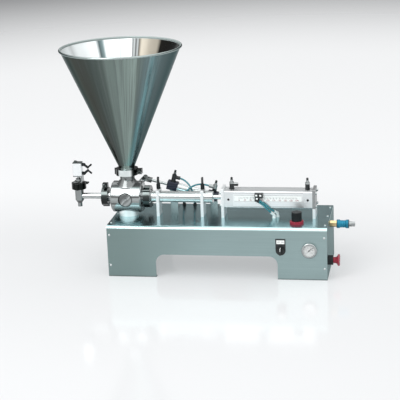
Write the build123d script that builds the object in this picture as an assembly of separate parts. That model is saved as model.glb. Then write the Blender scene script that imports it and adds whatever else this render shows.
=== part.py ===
from build123d import *
import os
from math import cos, pi, radians, sin, tan

# Bench-top piston filling machine. Millimetres, X along the cabinet, front at -Y, Z up.
# Shapes are placed from the middle of the cabinet's footprint. save() then moves them along X, so that
# the origin lies on the floor under the middle of the whole machine.

# Clearances
SLIP = 0.05  # radial room of a running or push fit
FREE = 0.3  # gap between faces that move past each other
SEAT = 0.02  # room under a saddle or around a seated ring

# Edges
EDGE = 1.0  # small chamfer of turned and milled pieces
ROUND = 2.0  # rounding of moulded pieces
THREAD_END = 2.0  # thread past a nut, or hole past a screw

# Cabinet
CAB_LENGTH = 760.0
CAB_DEPTH = 290.0
CAB_HEIGHT = 183.0
SHEET = 2.0
BEND = 12.0
FLANGE = 18.0
ARCH_WIDTH = 422.0
ARCH_HEIGHT = 82.0
ARCH_CORNER = 30.0
SCREW_INSET = 9.0
DECK_SCREW_PITCH = 106.0
FRONT_SCREW_LOW = 41.0
FRONT_SCREW_DROP = 33.0  # upper row, below the deck
SCREW_R = 2.0
SCREW_HEAD_R = 4.0
SCREW_HEAD_H = 2.4
SCREW_GRIP = 9.0
SCREW_ROOM = 0.2

# Selector switch on the front
SELECTOR_INSET = 157.5  # from the right end
SELECTOR_DROP = 79.0  # below the deck
LEGEND_WIDTH = 34.0
LEGEND_TOP = 41.0
LEGEND_THICK = 1.6
SELECTOR_BARREL_R = 11.0
SELECTOR_BARREL_LENGTH = 30.0
SELECTOR_BEZEL_R = 14.5
SELECTOR_BEZEL_H = 4.4
SELECTOR_FLOOR = 1.4  # of the bezel, under the knob
SELECTOR_KNOB_R = 12.0
SELECTOR_KNOB_H = 6.0
SELECTOR_GRIP = 10.0
SELECTOR_GRIP_WIDTH = 7.0
SELECTOR_STEM_R = 6.0
SELECTOR_STEM_LENGTH = 20.0
SELECTOR_BLOCK = 30.0

# Pressure gauge on the front
GAUGE_INSET = 60.0  # from the right end
GAUGE_DROP = 77.0  # below the deck
GAUGE_BEZEL_R = 26.5
GAUGE_PROUD = 9.0
GAUGE_OPENING_R = 20.0
GAUGE_WELL = 6.0
GAUGE_CASE_R = 21.0
GAUGE_CASE_LENGTH = 27.0
GAUGE_STEM_R = 6.0
GAUGE_STEM_LENGTH = 14.0
GAUGE_EDGE = 2.5
DIAL_THICK = 0.8
LENS_THICK = 1.4
NEEDLE_LENGTH = 16.0
NEEDLE_TAIL = 6.0
NEEDLE_WIDTH = 3.6
NEEDLE_THICK = 0.8
NEEDLE_HUB_R = 3.0
NEEDLE_ARBOR_R = 1.0
NEEDLE_ANGLE = 50.0  # clockwise from straight up, as the gauge reads at rest

# Pressure regulator on the deck
REG_INSET = 107.5  # from the right end
REG_SETBACK = 61.0  # behind the front
REG_NUT_R = 24.0
REG_NUT_H = 9.0
REG_THREAD_R = 15.0
REG_SHOULDER_R = 20.0
REG_SHOULDER_H = 20.0
REG_BLOCK = 44.0
REG_BLOCK_H = 52.0
REG_SPIGOT_R = 9.0
REG_SPIGOT_H = 15.0
REG_KNOB_R = 17.5
REG_KNOB_H = 31.0
REG_SKIRT = 9.0
REG_KNOB_GROOVES = 24
REG_GROOVE_R = 1.1

# Emergency stop on the right end
ESTOP_SETBACK = 31.0  # behind the front
ESTOP_Z = 63.0
ESTOP_COLLAR_R = 16.5
ESTOP_COLLAR_H = 18.0
ESTOP_BARREL_R = 11.0
ESTOP_BARREL_LENGTH = 16.0
ESTOP_BLOCK = 34.0
ESTOP_NECK_R = 10.5
ESTOP_NECK_OUT = 7.0
ESTOP_NECK_IN = 9.0
ESTOP_STROKE = 6.0
ESTOP_STEM_R = 5.0
ESTOP_FLARE_R = 13.0  # where the neck of the head turns outwards
ESTOP_FLARE_H = 5.0
ESTOP_HEAD_R = 20.0
ESTOP_HEAD_SLOPE = 4.0
ESTOP_HEAD_H = 6.0
ESTOP_PIN_R = 6.0
ESTOP_PIN_H = 5.0

# Air inlet on the right end
INLET_Y = -15.0
INLET_DROP = 22.0  # below the deck
INLET_HEX_R = 11.5
INLET_HEX_LENGTH = 23.0
INLET_THREAD_R = 6.5
INLET_THREAD_LENGTH = 16.0
INLET_NUT_H = 6.0
INLET_CORE_R = 9.0
SLEEVE_LENGTH = 42.0
SLEEVE_R = 15.0
SLEEVE_WAIST_R = 12.6
SLEEVE_LIP = 9.0
SLEEVE_STROKE = 9.0
INLET_END_R = 9.2
INLET_END_LENGTH = 11.0
INLET_PORT_R = 5.7
INLET_PORT_DEPTH = 12.0
INLET_BORE_R = 4.0

# Filling axis and valve
AXIS_HEIGHT = 65.0  # filling axis above the deck
VALVE_INSET = 50.0
VALVE_LENGTH = 108.0
VALVE_R = 55.0
VALVE_EDGE = 4.0
POCKET_R = 25.0  # around each end of the spool
POCKET_DEPTH = 7.5
SPOOL_R = 20.0
CHAMBER = 30.0
SECTOR_LOW = 43.0  # degrees from +X, closed side of the spool at rest
SECTOR_HIGH = 147.0
SECTOR_WALL = 9.0
HOPPER_PORT_R = 13.0
CYLINDER_PORT_R = 13.0
OUTLET_PORT_R = 9.0
SHOULDER_R = 42.0
SHOULDER_BOTTOM = 30.0
SHOULDER_EDGE = 42.0
SHOULDER_TOP = 64.0
PEDESTAL_R = 35.0
NECK_DIMPLE_R = 4.2
NECK_DIMPLE_DEPTH = 4.0
NECK_DIMPLE_H = 71.0
RETAINER_R = 22.0
RETAINER_THICK = 6.0
RETAINER_SCREW_R = 7.0
RETAINER_SCREW_H = 4.5
SOCKET_R = 3.4
SOCKET_DEPTH = 3.0
SPOOL_SCREW_R = 4.0
SPOOL_SCREW_GRIP = 15.0

# Clamped pipe joints: flange, taper behind it, gasket between
FERRULE = 3.0
TAPER = 4.0
GASKET = 2.0
LARGE_FLANGE_R = 32.0
LARGE_NECK_R = 26.0
MEDIUM_FLANGE_R = 25.25
MEDIUM_NECK_R = 19.0
SMALL_FLANGE_R = 18.0
HOPPER_NECK = 92.0  # filling axis to the hopper joint
CYLINDER_NECK = 17.0  # valve end to the cylinder joint
OUTLET_NECK = 27.0  # valve end to the outlet joint
JAW_WALL = 7.5
JAW_ROOM = 0.2
JAW_WIDTH = 22.0
JAW_SPLIT = 3.0
EAR_THICK = 8.0
EAR_HEIGHT = 18.0
EAR_EDGE = 6.0
KNUCKLE_R = 5.0
KNUCKLE_PIN_R = 2.2
CLAMP_BOLT_R = 3.0
CLAMP_BOLT_HEAD_R = 5.0
CLAMP_BOLT_HEAD_H = 4.0
WING_SPAN = 8.5
WING_HUB_R = 6.0
WING_HUB_H = 9.0
WING_THICK = 5.0
WING_RISE = 8.0

# Hopper
HOPPER_RIM_R = 208.0
HOPPER_CONE = 425.0  # height from the foot of the cone to the rim
HOPPER_WALL = 1.5
HOPPER_BEAD_R = 4.0
HOPPER_OUTLET_R = 25.5
HOPPER_OUTLET_LENGTH = 12.0  # hopper joint to the foot of the cone

# Outlet pipe and nozzle
OUTLET_REACH = 96.0  # outlet joint to the nozzle axis
PIPE_R = 10.5
PIPE_BORE_R = 9.0
NOZZLE_R = 15.5
NOZZLE_BORE_R = 9.5
NOZZLE_TOP = 38.0  # nozzle joint above the filling axis
NOZZLE_TAPER_TOP = 14.0  # below the filling axis
NOZZLE_TAPER_END = 25.0
NOZZLE_TIP = 38.0
NOZZLE_TIP_R = 8.0
NOZZLE_TIP_BORE_R = 5.0
NOZZLE_SEAT_TOP = 16.0
NOZZLE_SEAT_END = 22.0
BONNET_NECK_R = 10.0
BONNET_NECK = 1.0  # clamp to the bracket
STEM_R = 4.0
PLUG_R = 7.0
PLUG_LENGTH = 10.0
PLUG_LIFT = 8.0
COUPLING_R = 10.0
BRACKET_THICK = 4.0
BRACKET_WALL = 5.0
BRACKET_WIDTH = 26.0
BRACKET_GAP = 18.0  # clear height inside the C bracket
SMALL_CYL = 32.0
SMALL_CYL_DEPTH = 26.0
SMALL_CYL_H = 45.0
SMALL_CYL_BORE_R = 10.0
SMALL_CYL_FLOOR = 8.0
SMALL_PISTON_H = 10.0
SMALL_ROD_R = 5.0
SMALL_CAP_H = 2.0
SMALL_NUB_R = 5.0
SMALL_NUB_H = 5.0
ELBOW_HEX_R = 6.5
ELBOW_HEX_LENGTH = 7.0
ELBOW_ARM_R = 4.2
ELBOW_ARM = 17.0
ELBOW_TAIL_R = 3.2
ELBOW_TAIL = 18.0
ELBOW_ANGLE = 40.0
ELBOW_INSET = 6.5  # elbow centre from the end of the small cylinder

# Metering cylinder
TUBE_R = 20.0
TUBE_BORE_R = 18.5
REAR_CAP_R = 21.0
REAR_CAP_LENGTH = 61.0
REAR_CAP_SPIGOT = 10.0
PISTON_LENGTH = 30.0
PISTON_STROKE = 120.0
PISTON_FRONT_ROOM = 8.0  # left in front of the piston at the end of its stroke
PISTON_BACK_ROOM = 2.0
ROD_R = 8.0
ROD_SPIGOT_R = 5.0
SEAL_WIDTH = 4.0
SEAL_DEPTH = 2.5

# Posts
POST_THICK = 10.0
POST_WIDTH = 52.0
POST_TOP = 28.0  # above the filling axis
POST_1_SETBACK = 33.6  # cylinder joint to the near face of post 1
POST_2_SETBACK = 19.5  # tube end to the near face of post 2
DRIVE_POST_WIDTH = 65.0
DRIVE_POST_TOP = 37.0
POST_SCREW_R = 3.0
POST_SCREW_HEAD_R = 5.0
POST_SCREW_HEAD_H = 3.0
POST_SCREW_PITCH = 24.0
POST_SCREW_GRIP = 14.0
POST_ROD_ROOM = 2.0  # around the rod where it passes a drive post
KNOB_BASE_R = 7.0
KNOB_BASE_H = 19.0
KNOB_BLADE_THICK = 5.5
KNOB_BLADE_WIDTH = 15.0
KNOB_BLADE_H = 24.0
KNOB_STUD_R = 3.0

# Drive cylinder
DRIVE_GAP = 32.0  # rear cap of the metering cylinder to the first drive post
DRIVE_SIDE = 60.0
DRIVE_EDGE = 3.0
HEAD_LENGTH = 32.0
DRIVE_INSET = 58.0  # last post from the right end
DRIVE_BORE_R = 25.0
DRIVE_PISTON_LENGTH = 40.0
DRIVE_PISTON_ROOM = 4.0
DRIVE_BOLT_PITCH = 46.0
DRIVE_BOLT_R = 3.0
DRIVE_BOLT_HEAD_R = 4.8
DRIVE_BOLT_HEAD_H = 5.0
DRIVE_SOCKET_R = 2.6
DRIVE_BOLT_GRIP = 28.0
CUSHION_R = 4.0  # recess of the cushion screw in a head
CUSHION_DEPTH = 5.0
FRONT_PORT_INSET = 25.0  # controller from the outer end of its head
REAR_PORT_INSET = 19.0
SCALE_LOW = -6.0  # scale strip, from the filling axis
SCALE_HIGH = 16.0
SCALE_THICK = 0.5
SCALE_INSET = 5.0

# Stroke limit valve on the barrel
LIMIT_X = 138.0
LIMIT_WIDTH = 28.0
LIMIT_THICK = 12.0
LIMIT_UNDERSIDE = 9.0  # above the filling axis
LIMIT_PORT_WIDTH = 13.0
LIMIT_PORT_DROP = 12.0  # below the underside
LIMIT_TOP_GAP = 4.5  # below the top of the barrel
LIMIT_NIPPLE_R = 3.5
LIMIT_NIPPLE_LENGTH = 8.0

# Speed controllers
CTRL_HEX_R = 9.0
CTRL_HEX_H = 5.0
CTRL_BODY_R = 8.0
CTRL_BODY_H = 21.0
CTRL_ARM_R = 6.5
CTRL_ARM_LENGTH = 22.0
CTRL_ARM_HEIGHT = 17.0
CTRL_STEM_R = 4.8
CTRL_STEM_H = 8.0
CTRL_SOCKET_DEPTH = 8.0
CTRL_SCREW_R = 4.0
CTRL_SCREW_H = 8.0
CTRL_SLOT_WIDTH = 1.0
CTRL_SLOT_DEPTH = 2.0
CTRL_NEEDLE_R = 2.0
CTRL_NEEDLE_LENGTH = 9.0

# Valve actuator behind the metering cylinder
LEVER_GAP = 1.0  # back of the valve to the lever
LEVER_THICK = 8.0
LEVER_ARM = 59.4  # spool axis to the line of the rod
LEVER_HUB_R = 15.0
LEVER_WIDTH = 18.0
LEVER_TURN = 60.0
LEVER_PIN_R = 3.5
LEVER_SLOT_ROOM = 1.7
LEVER_SHAFT_R = 8.0
LEVER_NECK_R = 11.0
LEVER_NUT_R = 12.0
LEVER_NUT_H = 7.0
ACT_TILT = 14.1
ACT_NOSE = 85.0  # pin at rest to the front cap
ACT_CAP = 30.0
ACT_CAP_LENGTH = 38.0
ACT_BARREL_R = 13.5
ACT_BORE_R = 12.5
ACT_PISTON = 25.0
ACT_PISTON_ROOM = 8.0
ACT_ROD_R = 5.0
ACT_PORT_INSET = 18.0  # controller from the outer end of its cap
FORK_WIDTH = 20.0
FORK_HEIGHT = 14.0
FORK_SIDE_ROOM = 0.5
FORK_REACH = 8.0
FORK_ROOT = 16.0
FORK_WEB = 2.0  # between the slot and the end of the rod
FORK_LENGTH = 28.0
ACT_BRACKET_THICK = 5.0
ACT_BRACKET_WIDTH = 27.0
ACT_BRACKET_FOOT = 26.0
ACT_BRACKET_LAP = 8.0

# Hoses and their fittings on the deck
HOSE_R = 3.0
HOSE_ARC_SHARE = 0.45  # of a straight run, taken by the arc at its end
FITTING_HEX_R = 7.0
FITTING_HEX_H = 5.0
FITTING_R = 5.0
FITTING_ARM = 10.0  # end of a hose to the knee of its elbow
FITTING_SOCKET = 6.0
FITTING_STUD_R = 4.5
FITTING_STUD = 9.0  # below the top of the deck
FITTING_NUT_H = 4.0

# Control valves inside the cabinet
MANIFOLD_LENGTH = 130.0
MANIFOLD_DEPTH = 22.0
MANIFOLD_HEIGHT = 30.0
MANIFOLD_Z = 125.0
CONTROL_VALVES = 3
CONTROL_VALVE_WIDTH = 26.0
CONTROL_VALVE_DEPTH = 45.0
CONTROL_VALVE_HEIGHT = 62.0
CONTROL_VALVE_PITCH = 40.0

# Levels and places that follow from the sizes above
DECK = CAB_HEIGHT
AXIS = DECK + AXIS_HEIGHT
FRONT = -CAB_DEPTH / 2
RIGHT = CAB_LENGTH / 2
SELECTOR_X = RIGHT - SELECTOR_INSET
SELECTOR_Z = DECK - SELECTOR_DROP
GAUGE_X = RIGHT - GAUGE_INSET
GAUGE_Z = DECK - GAUGE_DROP
REG_X = RIGHT - REG_INSET
REG_Y = FRONT + REG_SETBACK
ESTOP_Y = FRONT + ESTOP_SETBACK
INLET_Z = DECK - INLET_DROP
VALVE_X = VALVE_INSET - RIGHT
VALVE_RIGHT = VALVE_X + VALVE_LENGTH / 2
VALVE_LEFT = VALVE_X - VALVE_LENGTH / 2
VALVE_FACE = VALVE_R - POCKET_DEPTH
LEVER_Y = VALVE_R + LEVER_GAP + LEVER_THICK / 2
HOPPER_JOINT = AXIS + HOPPER_NECK
CYLINDER_JOINT = VALVE_RIGHT + CYLINDER_NECK
OUTLET_JOINT = VALVE_LEFT - OUTLET_NECK
NOZZLE_X = OUTLET_JOINT - OUTLET_REACH
NOZZLE_JOINT = AXIS + NOZZLE_TOP
COUPLING = BRACKET_GAP - PLUG_LIFT - 2 * FREE
TUBE_START = CYLINDER_JOINT + GASKET / 2
TUBE_LENGTH = PISTON_FRONT_ROOM + PISTON_STROKE + PISTON_LENGTH + PISTON_BACK_ROOM + REAR_CAP_SPIGOT
TUBE_END = TUBE_START + TUBE_LENGTH
REAR_CAP_END = TUBE_END + REAR_CAP_LENGTH
POST_1 = CYLINDER_JOINT + POST_1_SETBACK
POST_2 = TUBE_END + POST_2_SETBACK
POST_3 = REAR_CAP_END + DRIVE_GAP
DRIVE_START = POST_3 + POST_THICK
BARREL_START = DRIVE_START + HEAD_LENGTH
POST_4 = RIGHT - DRIVE_INSET
BARREL_END = POST_4 - HEAD_LENGTH
BARREL_LENGTH = BARREL_END - BARREL_START
PISTON_BACK = TUBE_END - REAR_CAP_SPIGOT - PISTON_BACK_ROOM
DRIVE_PISTON_FACE = BARREL_END - DRIVE_PISTON_ROOM - DRIVE_PISTON_LENGTH
INLET_END = RIGHT + INLET_HEX_LENGTH + FREE + SLEEVE_LENGTH + SLEEVE_STROKE + FREE + INLET_END_LENGTH
LEFT_REACH = VALVE_X - HOPPER_RIM_R - HOPPER_BEAD_R
BASE_X = -(LEFT_REACH + INLET_END) / 2

# Line of the actuator rod: along points away from the valve, across points up from it
ALONG = Vector(cos(radians(ACT_TILT)), 0, -sin(radians(ACT_TILT)))
ACROSS = Vector(sin(radians(ACT_TILT)), 0, cos(radians(ACT_TILT)))
HALF_THROW = LEVER_ARM * tan(radians(LEVER_TURN / 2))
SPOOL_AXIS = Vector(VALVE_X, LEVER_Y, AXIS)
PIN = SPOOL_AXIS + ACROSS * LEVER_ARM + ALONG * HALF_THROW
ACT_BARREL_LENGTH = 2 * HALF_THROW + ACT_PISTON + 2 * ACT_PISTON_ROOM
ACTUATOR = Plane(PIN, x_dir=ALONG, z_dir=ACROSS)
ACT_BARREL_START = ACT_NOSE + ACT_CAP_LENGTH
ACT_BARREL_END = ACT_BARREL_START + ACT_BARREL_LENGTH
ACT_END = ACT_BARREL_END + ACT_CAP_LENGTH

X = Vector(1, 0, 0)
Y = Vector(0, 1, 0)
Z = Vector(0, 0, 1)
FROM_START = (Align.CENTER, Align.CENTER, Align.MIN)


def save(name, *pieces):
    """Write one sub-part, moved so that the origin lies under the middle of the machine."""
    solids = [Pos(BASE_X, 0, 0) * solid for piece in pieces for solid in piece.solids()]
    shape = solids[0] if len(solids) == 1 else Compound(children=solids)
    export_step(shape, f"parts/{name}.step")


def block(x, y, z):
    """A box from its low and high limits along each axis."""
    limits = (x, y, z)
    middle = [(low + high) / 2 for low, high in limits]
    return Pos(*middle) * Box(*[high - low for low, high in limits])


def both(half):
    """Limits that lie evenly about zero."""
    return (-half, half)


def bar(radius, start, axis, length):
    """A round bar from a start point along an axis."""
    return Plane(start, z_dir=axis) * Cylinder(radius, length, align=FROM_START)


def hexagon(radius, start, axis, length):
    """A hexagonal bar from a start point along an axis, by its corner radius."""
    return Plane(start, z_dir=axis) * extrude(RegularPolygon(radius, 6), length)


def turned(points, start=(0, 0, 0), axis=Z):
    """A turned piece from (radius, distance along the axis) points."""
    outline = make_face(Polyline(*points, close=True))
    return Plane(start, z_dir=axis) * (Rot(90, 0, 0) * revolve(outline, Axis.Y))


def ring(outer, inner, start, axis, length):
    """A plain ring or tube."""
    return bar(outer, start, axis, length) - bar(inner, start, axis, length)


def bent_block(x, half_y, z, bend):
    """A block whose two top edges along X are rounded, as bent sheet is."""
    body = block(x, both(half_y), z)
    return fillet(body.edges().filter_by(Axis.X).group_by(Axis.Z)[-1], bend)


def joint_flange(flange_r, neck_r):
    """Outline of a clamped flange on its taper, from the joint face to the neck."""
    face = GASKET / 2
    return [(flange_r, face), (flange_r, face + FERRULE), (neck_r, face + FERRULE + TAPER)]


# Cabinet


def panel_screw_places():
    """Head seat and inward direction of each screw of the end panels."""
    places = []
    for side in (-1, 1):
        x = side * (RIGHT - SCREW_INSET)
        for row in (-1, 0, 1):
            places.append((Vector(x, row * DECK_SCREW_PITCH, DECK), -Z))
        for z in (FRONT_SCREW_LOW, DECK - FRONT_SCREW_DROP):
            places.append((Vector(x, FRONT, z), Y))
            places.append((Vector(x, -FRONT, z), -Y))
    return places


def bracket_screw_places():
    """Head seat and downward direction of the screws in the actuator's bracket feet."""
    places = []
    for x in (actuator_bracket_x(front=True), actuator_bracket_x(front=False)):
        y = actuator_bracket_y() + ACT_BRACKET_THICK + ACT_BRACKET_FOOT / 2
        places.append((Vector(x, y, DECK + ACT_BRACKET_THICK), -Z))
    return places


def screw(seat, inward):
    head = bar(SCREW_HEAD_R, seat, -inward, SCREW_HEAD_H)
    head = fillet(head.edges().sort_by_distance(seat - inward * SCREW_HEAD_H)[0], SCREW_HEAD_H / 2)
    return head + bar(SCREW_R, seat, inward, SCREW_GRIP)


def screw_hole(seat, inward):
    return bar(SCREW_R + SCREW_ROOM, seat - inward * EDGE, inward, SCREW_GRIP + 2 * EDGE)


def post_screw_places():
    """Points on the deck where the post screws come up."""
    middles = [start + POST_THICK / 2 for start in (POST_1, POST_2, POST_3, POST_4)]
    return [Vector(x, side * POST_SCREW_PITCH / 2, DECK) for x in middles for side in (-1, 1)]


def post_screw(place):
    under = place - Z * SHEET
    head = bar(POST_SCREW_HEAD_R, under - Z * POST_SCREW_HEAD_H, Z, POST_SCREW_HEAD_H)
    return head + bar(POST_SCREW_R, under, Z, SHEET + POST_SCREW_GRIP)


def fitting_places():
    """Deck points of the hose fittings, under the knees of their elbows."""
    knees = [hose_knee(route) for routes in HOSES.values() for route in routes]
    return [Vector(knee.X, knee.Y, DECK) for knee in knees]


def cabinet_shell():
    shell = bent_block(both(RIGHT), -FRONT, (0, CAB_HEIGHT), BEND)
    shell -= bent_block(both(RIGHT + SHEET), -FRONT - SHEET, (0, CAB_HEIGHT - SHEET), BEND - SHEET)
    for side in (-1, 1):
        inner = sorted((side * (-FRONT - SHEET), side * (-FRONT - FLANGE)))
        shell += block(both(RIGHT - FLANGE - FREE), inner, (0, SHEET))
    arch = block(both(ARCH_WIDTH / 2), both(-FRONT + SHEET), (-SHEET, ARCH_HEIGHT))
    shell -= fillet(arch.edges().filter_by(Axis.Y).group_by(Axis.Z)[-1], ARCH_CORNER)
    for seat, inward in panel_screw_places() + bracket_screw_places():
        shell -= screw_hole(seat, inward)
    for place in post_screw_places():
        shell -= bar(POST_SCREW_R + SCREW_ROOM, place - Z * 2 * SHEET, Z, 3 * SHEET)
    for place in fitting_places():
        shell -= bar(FITTING_STUD_R + SLIP, place - Z * 2 * SHEET, Z, 3 * SHEET)
    shell -= bar(REG_THREAD_R + SLIP, (REG_X, REG_Y, DECK - 2 * SHEET), Z, 3 * SHEET)
    shell -= bar(SELECTOR_BARREL_R + SLIP, (SELECTOR_X, FRONT - SHEET, SELECTOR_Z), Y, 3 * SHEET)
    shell -= bar(GAUGE_CASE_R + SLIP, (GAUGE_X, FRONT - SHEET, GAUGE_Z), Y, 3 * SHEET)
    return shell


def end_panel():
    """The right end panel, a tray with its flanges turned inward."""
    tray = bent_block((RIGHT - FLANGE, RIGHT), -FRONT - SHEET, (0, CAB_HEIGHT - SHEET), BEND - SHEET)
    inside = (SHEET, CAB_HEIGHT - 2 * SHEET)
    x = (RIGHT - FLANGE - SHEET, RIGHT - SHEET)
    tray -= bent_block(x, -FRONT - 2 * SHEET, inside, BEND - 2 * SHEET)
    for seat, inward in panel_screw_places():
        if seat.X > 0:
            tray -= screw_hole(seat, inward)
    return tray


def right_end_panel():
    panel = end_panel()
    panel -= bar(ESTOP_BARREL_R + SLIP, (RIGHT - 2 * SHEET, ESTOP_Y, ESTOP_Z), X, 3 * SHEET)
    panel -= bar(INLET_THREAD_R + SLIP, (RIGHT - 2 * SHEET, INLET_Y, INLET_Z), X, 3 * SHEET)
    return panel


def control_valves():
    """Manifold bar on the inside of the back, with the directional valves on its face."""
    back = -FRONT - SHEET
    face = back - MANIFOLD_DEPTH
    half = MANIFOLD_HEIGHT / 2
    pieces = [block(both(MANIFOLD_LENGTH / 2), (face, back), (MANIFOLD_Z - half, MANIFOLD_Z + half))]
    tall = CONTROL_VALVE_HEIGHT / 2
    for number in range(CONTROL_VALVES):
        x = (number - (CONTROL_VALVES - 1) / 2) * CONTROL_VALVE_PITCH
        wide = (x - CONTROL_VALVE_WIDTH / 2, x + CONTROL_VALVE_WIDTH / 2)
        body = block(wide, (face - CONTROL_VALVE_DEPTH, face), (MANIFOLD_Z - tall, MANIFOLD_Z + tall))
        pieces.append(body)
    return pieces


# Front and end controls


def selector_plate():
    x = (SELECTOR_X - LEGEND_WIDTH / 2, SELECTOR_X + LEGEND_WIDTH / 2)
    y = (FRONT - LEGEND_THICK, FRONT)
    centre = (SELECTOR_X, FRONT - LEGEND_THICK, SELECTOR_Z)
    plate = block(x, y, (SELECTOR_Z, SELECTOR_Z + LEGEND_TOP))
    plate += bar(LEGEND_WIDTH / 2, centre, Y, LEGEND_THICK)
    return plate - bar(SELECTOR_BARREL_R + SLIP, centre, Y, LEGEND_THICK)


def selector_body():
    face = FRONT - LEGEND_THICK
    axis = (SELECTOR_X, face, SELECTOR_Z)
    body = bar(SELECTOR_BARREL_R, axis, Y, SELECTOR_BARREL_LENGTH)
    body += bar(SELECTOR_BEZEL_R, axis, -Y, SELECTOR_BEZEL_H)
    floor = (SELECTOR_X, face - SELECTOR_FLOOR, SELECTOR_Z)
    body -= bar(SELECTOR_KNOB_R + FREE, floor, -Y, SELECTOR_BEZEL_H)
    body -= bar(SELECTOR_STEM_R + FREE, floor, Y, SELECTOR_STEM_LENGTH + FREE)
    half = SELECTOR_BLOCK / 2
    back = face + SELECTOR_BARREL_LENGTH
    x = (SELECTOR_X - half, SELECTOR_X + half)
    return body + block(x, (back, back + SELECTOR_BLOCK), (SELECTOR_Z - half, SELECTOR_Z + half))


def selector_knob():
    face = FRONT - LEGEND_THICK - SELECTOR_FLOOR - FREE
    axis = (SELECTOR_X, face, SELECTOR_Z)
    knob = bar(SELECTOR_KNOB_R, axis, -Y, SELECTOR_KNOB_H)
    grip = bar(SELECTOR_KNOB_R, axis, -Y, SELECTOR_KNOB_H + SELECTOR_GRIP)
    half = SELECTOR_GRIP_WIDTH / 2
    grip &= block((SELECTOR_X - half, SELECTOR_X + half), (2 * FRONT, 0), (0, DECK))
    return knob + grip + bar(SELECTOR_STEM_R, axis, Y, SELECTOR_STEM_LENGTH)


def gauge_case():
    front = (GAUGE_X, FRONT - GAUGE_PROUD, GAUGE_Z)
    case = bar(GAUGE_BEZEL_R, front, Y, GAUGE_PROUD)
    case = fillet(case.edges().sort_by(Axis.Y)[0], GAUGE_EDGE)
    case += bar(GAUGE_CASE_R, (GAUGE_X, FRONT, GAUGE_Z), Y, GAUGE_CASE_LENGTH)
    case += bar(GAUGE_STEM_R, (GAUGE_X, FRONT + GAUGE_CASE_LENGTH, GAUGE_Z), Y, GAUGE_STEM_LENGTH)
    case -= bar(GAUGE_OPENING_R, front, Y, GAUGE_WELL)
    return case - bar(NEEDLE_ARBOR_R + FREE, front, Y, GAUGE_WELL + 2 * NEEDLE_HUB_R)


def gauge_dial():
    well = FRONT - GAUGE_PROUD + GAUGE_WELL
    start = (GAUGE_X, well, GAUGE_Z)
    return ring(GAUGE_OPENING_R - SEAT, NEEDLE_ARBOR_R + FREE, start, -Y, DIAL_THICK)


def gauge_needle():
    """Pointer, hub and arbor, drawn pointing up and turned clockwise to the resting reading."""
    face = FRONT - GAUGE_PROUD + GAUGE_WELL - DIAL_THICK - FREE
    outline = Polyline(
        (-NEEDLE_WIDTH / 2, -NEEDLE_TAIL),
        (NEEDLE_WIDTH / 2, -NEEDLE_TAIL),
        (NEEDLE_WIDTH / 4, NEEDLE_LENGTH),
        (-NEEDLE_WIDTH / 4, NEEDLE_LENGTH),
        close=True,
    )
    frame = Plane((GAUGE_X, face, GAUGE_Z), x_dir=X, z_dir=-Y)
    turn = Rot(0, 0, -NEEDLE_ANGLE)
    pointer = frame * (turn * extrude(make_face(outline), NEEDLE_THICK))
    pointer += bar(NEEDLE_HUB_R, (GAUGE_X, face, GAUGE_Z), -Y, 2 * NEEDLE_THICK)
    return pointer + bar(NEEDLE_ARBOR_R, (GAUGE_X, face, GAUGE_Z), Y, DIAL_THICK + NEEDLE_HUB_R)


def gauge_lens():
    front = (GAUGE_X, FRONT - GAUGE_PROUD + FREE, GAUGE_Z)
    return bar(GAUGE_OPENING_R - SEAT, front, Y, LENS_THICK)


def regulator_body():
    """Block, shoulder, threaded neck through the deck and spigot inside the knob."""
    shoulder = DECK - SHEET - REG_SHOULDER_H
    half = REG_BLOCK / 2
    x = (REG_X - half, REG_X + half)
    body = block(x, (REG_Y - half, REG_Y + half), (shoulder - REG_BLOCK_H, shoulder))
    body += bar(REG_SHOULDER_R, (REG_X, REG_Y, shoulder), Z, REG_SHOULDER_H)
    body += bar(REG_THREAD_R, (REG_X, REG_Y, DECK - SHEET), Z, SHEET + REG_NUT_H)
    return body + bar(REG_SPIGOT_R, (REG_X, REG_Y, DECK + REG_NUT_H), Z, REG_SPIGOT_H)


def regulator_nut():
    nut = ring(REG_NUT_R, REG_THREAD_R + SLIP, (REG_X, REG_Y, DECK), Z, REG_NUT_H)
    top = nut.edges().filter_by(GeomType.CIRCLE).group_by(Axis.Z)[-1].sort_by(SortBy.LENGTH)[-1]
    return fillet(top, ROUND)


def regulator_knob():
    base = DECK + REG_NUT_H + FREE
    knob = bar(REG_KNOB_R, (REG_X, REG_Y, base), Z, REG_KNOB_H)
    knob = fillet(knob.edges().sort_by(Axis.Z)[-1], ROUND)
    for number in range(REG_KNOB_GROOVES):
        angle = 2 * pi * number / REG_KNOB_GROOVES
        side = Vector(cos(angle), sin(angle), 0) * REG_KNOB_R
        groove = Vector(REG_X, REG_Y, base + REG_SKIRT) + side
        knob -= bar(REG_GROOVE_R, groove, Z, REG_KNOB_H - REG_SKIRT - ROUND)
    return knob - bar(REG_SPIGOT_R + FREE, (REG_X, REG_Y, base), Z, REG_SPIGOT_H + FREE)


def estop_base():
    """Collar outside, barrel through the panel and contact block inside."""
    seat = (RIGHT, ESTOP_Y, ESTOP_Z)
    body = bar(ESTOP_COLLAR_R, seat, X, ESTOP_COLLAR_H)
    body = fillet(body.edges().sort_by(Axis.X)[-1], ROUND)
    body += bar(ESTOP_BARREL_R, seat, -X, ESTOP_BARREL_LENGTH)
    inner = RIGHT - ESTOP_BARREL_LENGTH
    half = ESTOP_BLOCK / 2
    y = (ESTOP_Y - half, ESTOP_Y + half)
    body += block((inner - ESTOP_BLOCK, inner), y, (ESTOP_Z - half, ESTOP_Z + half))
    well = ESTOP_NECK_IN + ESTOP_STROKE + FREE
    mouth = (RIGHT + ESTOP_COLLAR_H, ESTOP_Y, ESTOP_Z)
    body -= bar(ESTOP_NECK_R + FREE, mouth, -X, well)
    return body - bar(ESTOP_STEM_R + FREE, mouth, -X, well + ESTOP_BARREL_LENGTH + ESTOP_STROKE)


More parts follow.
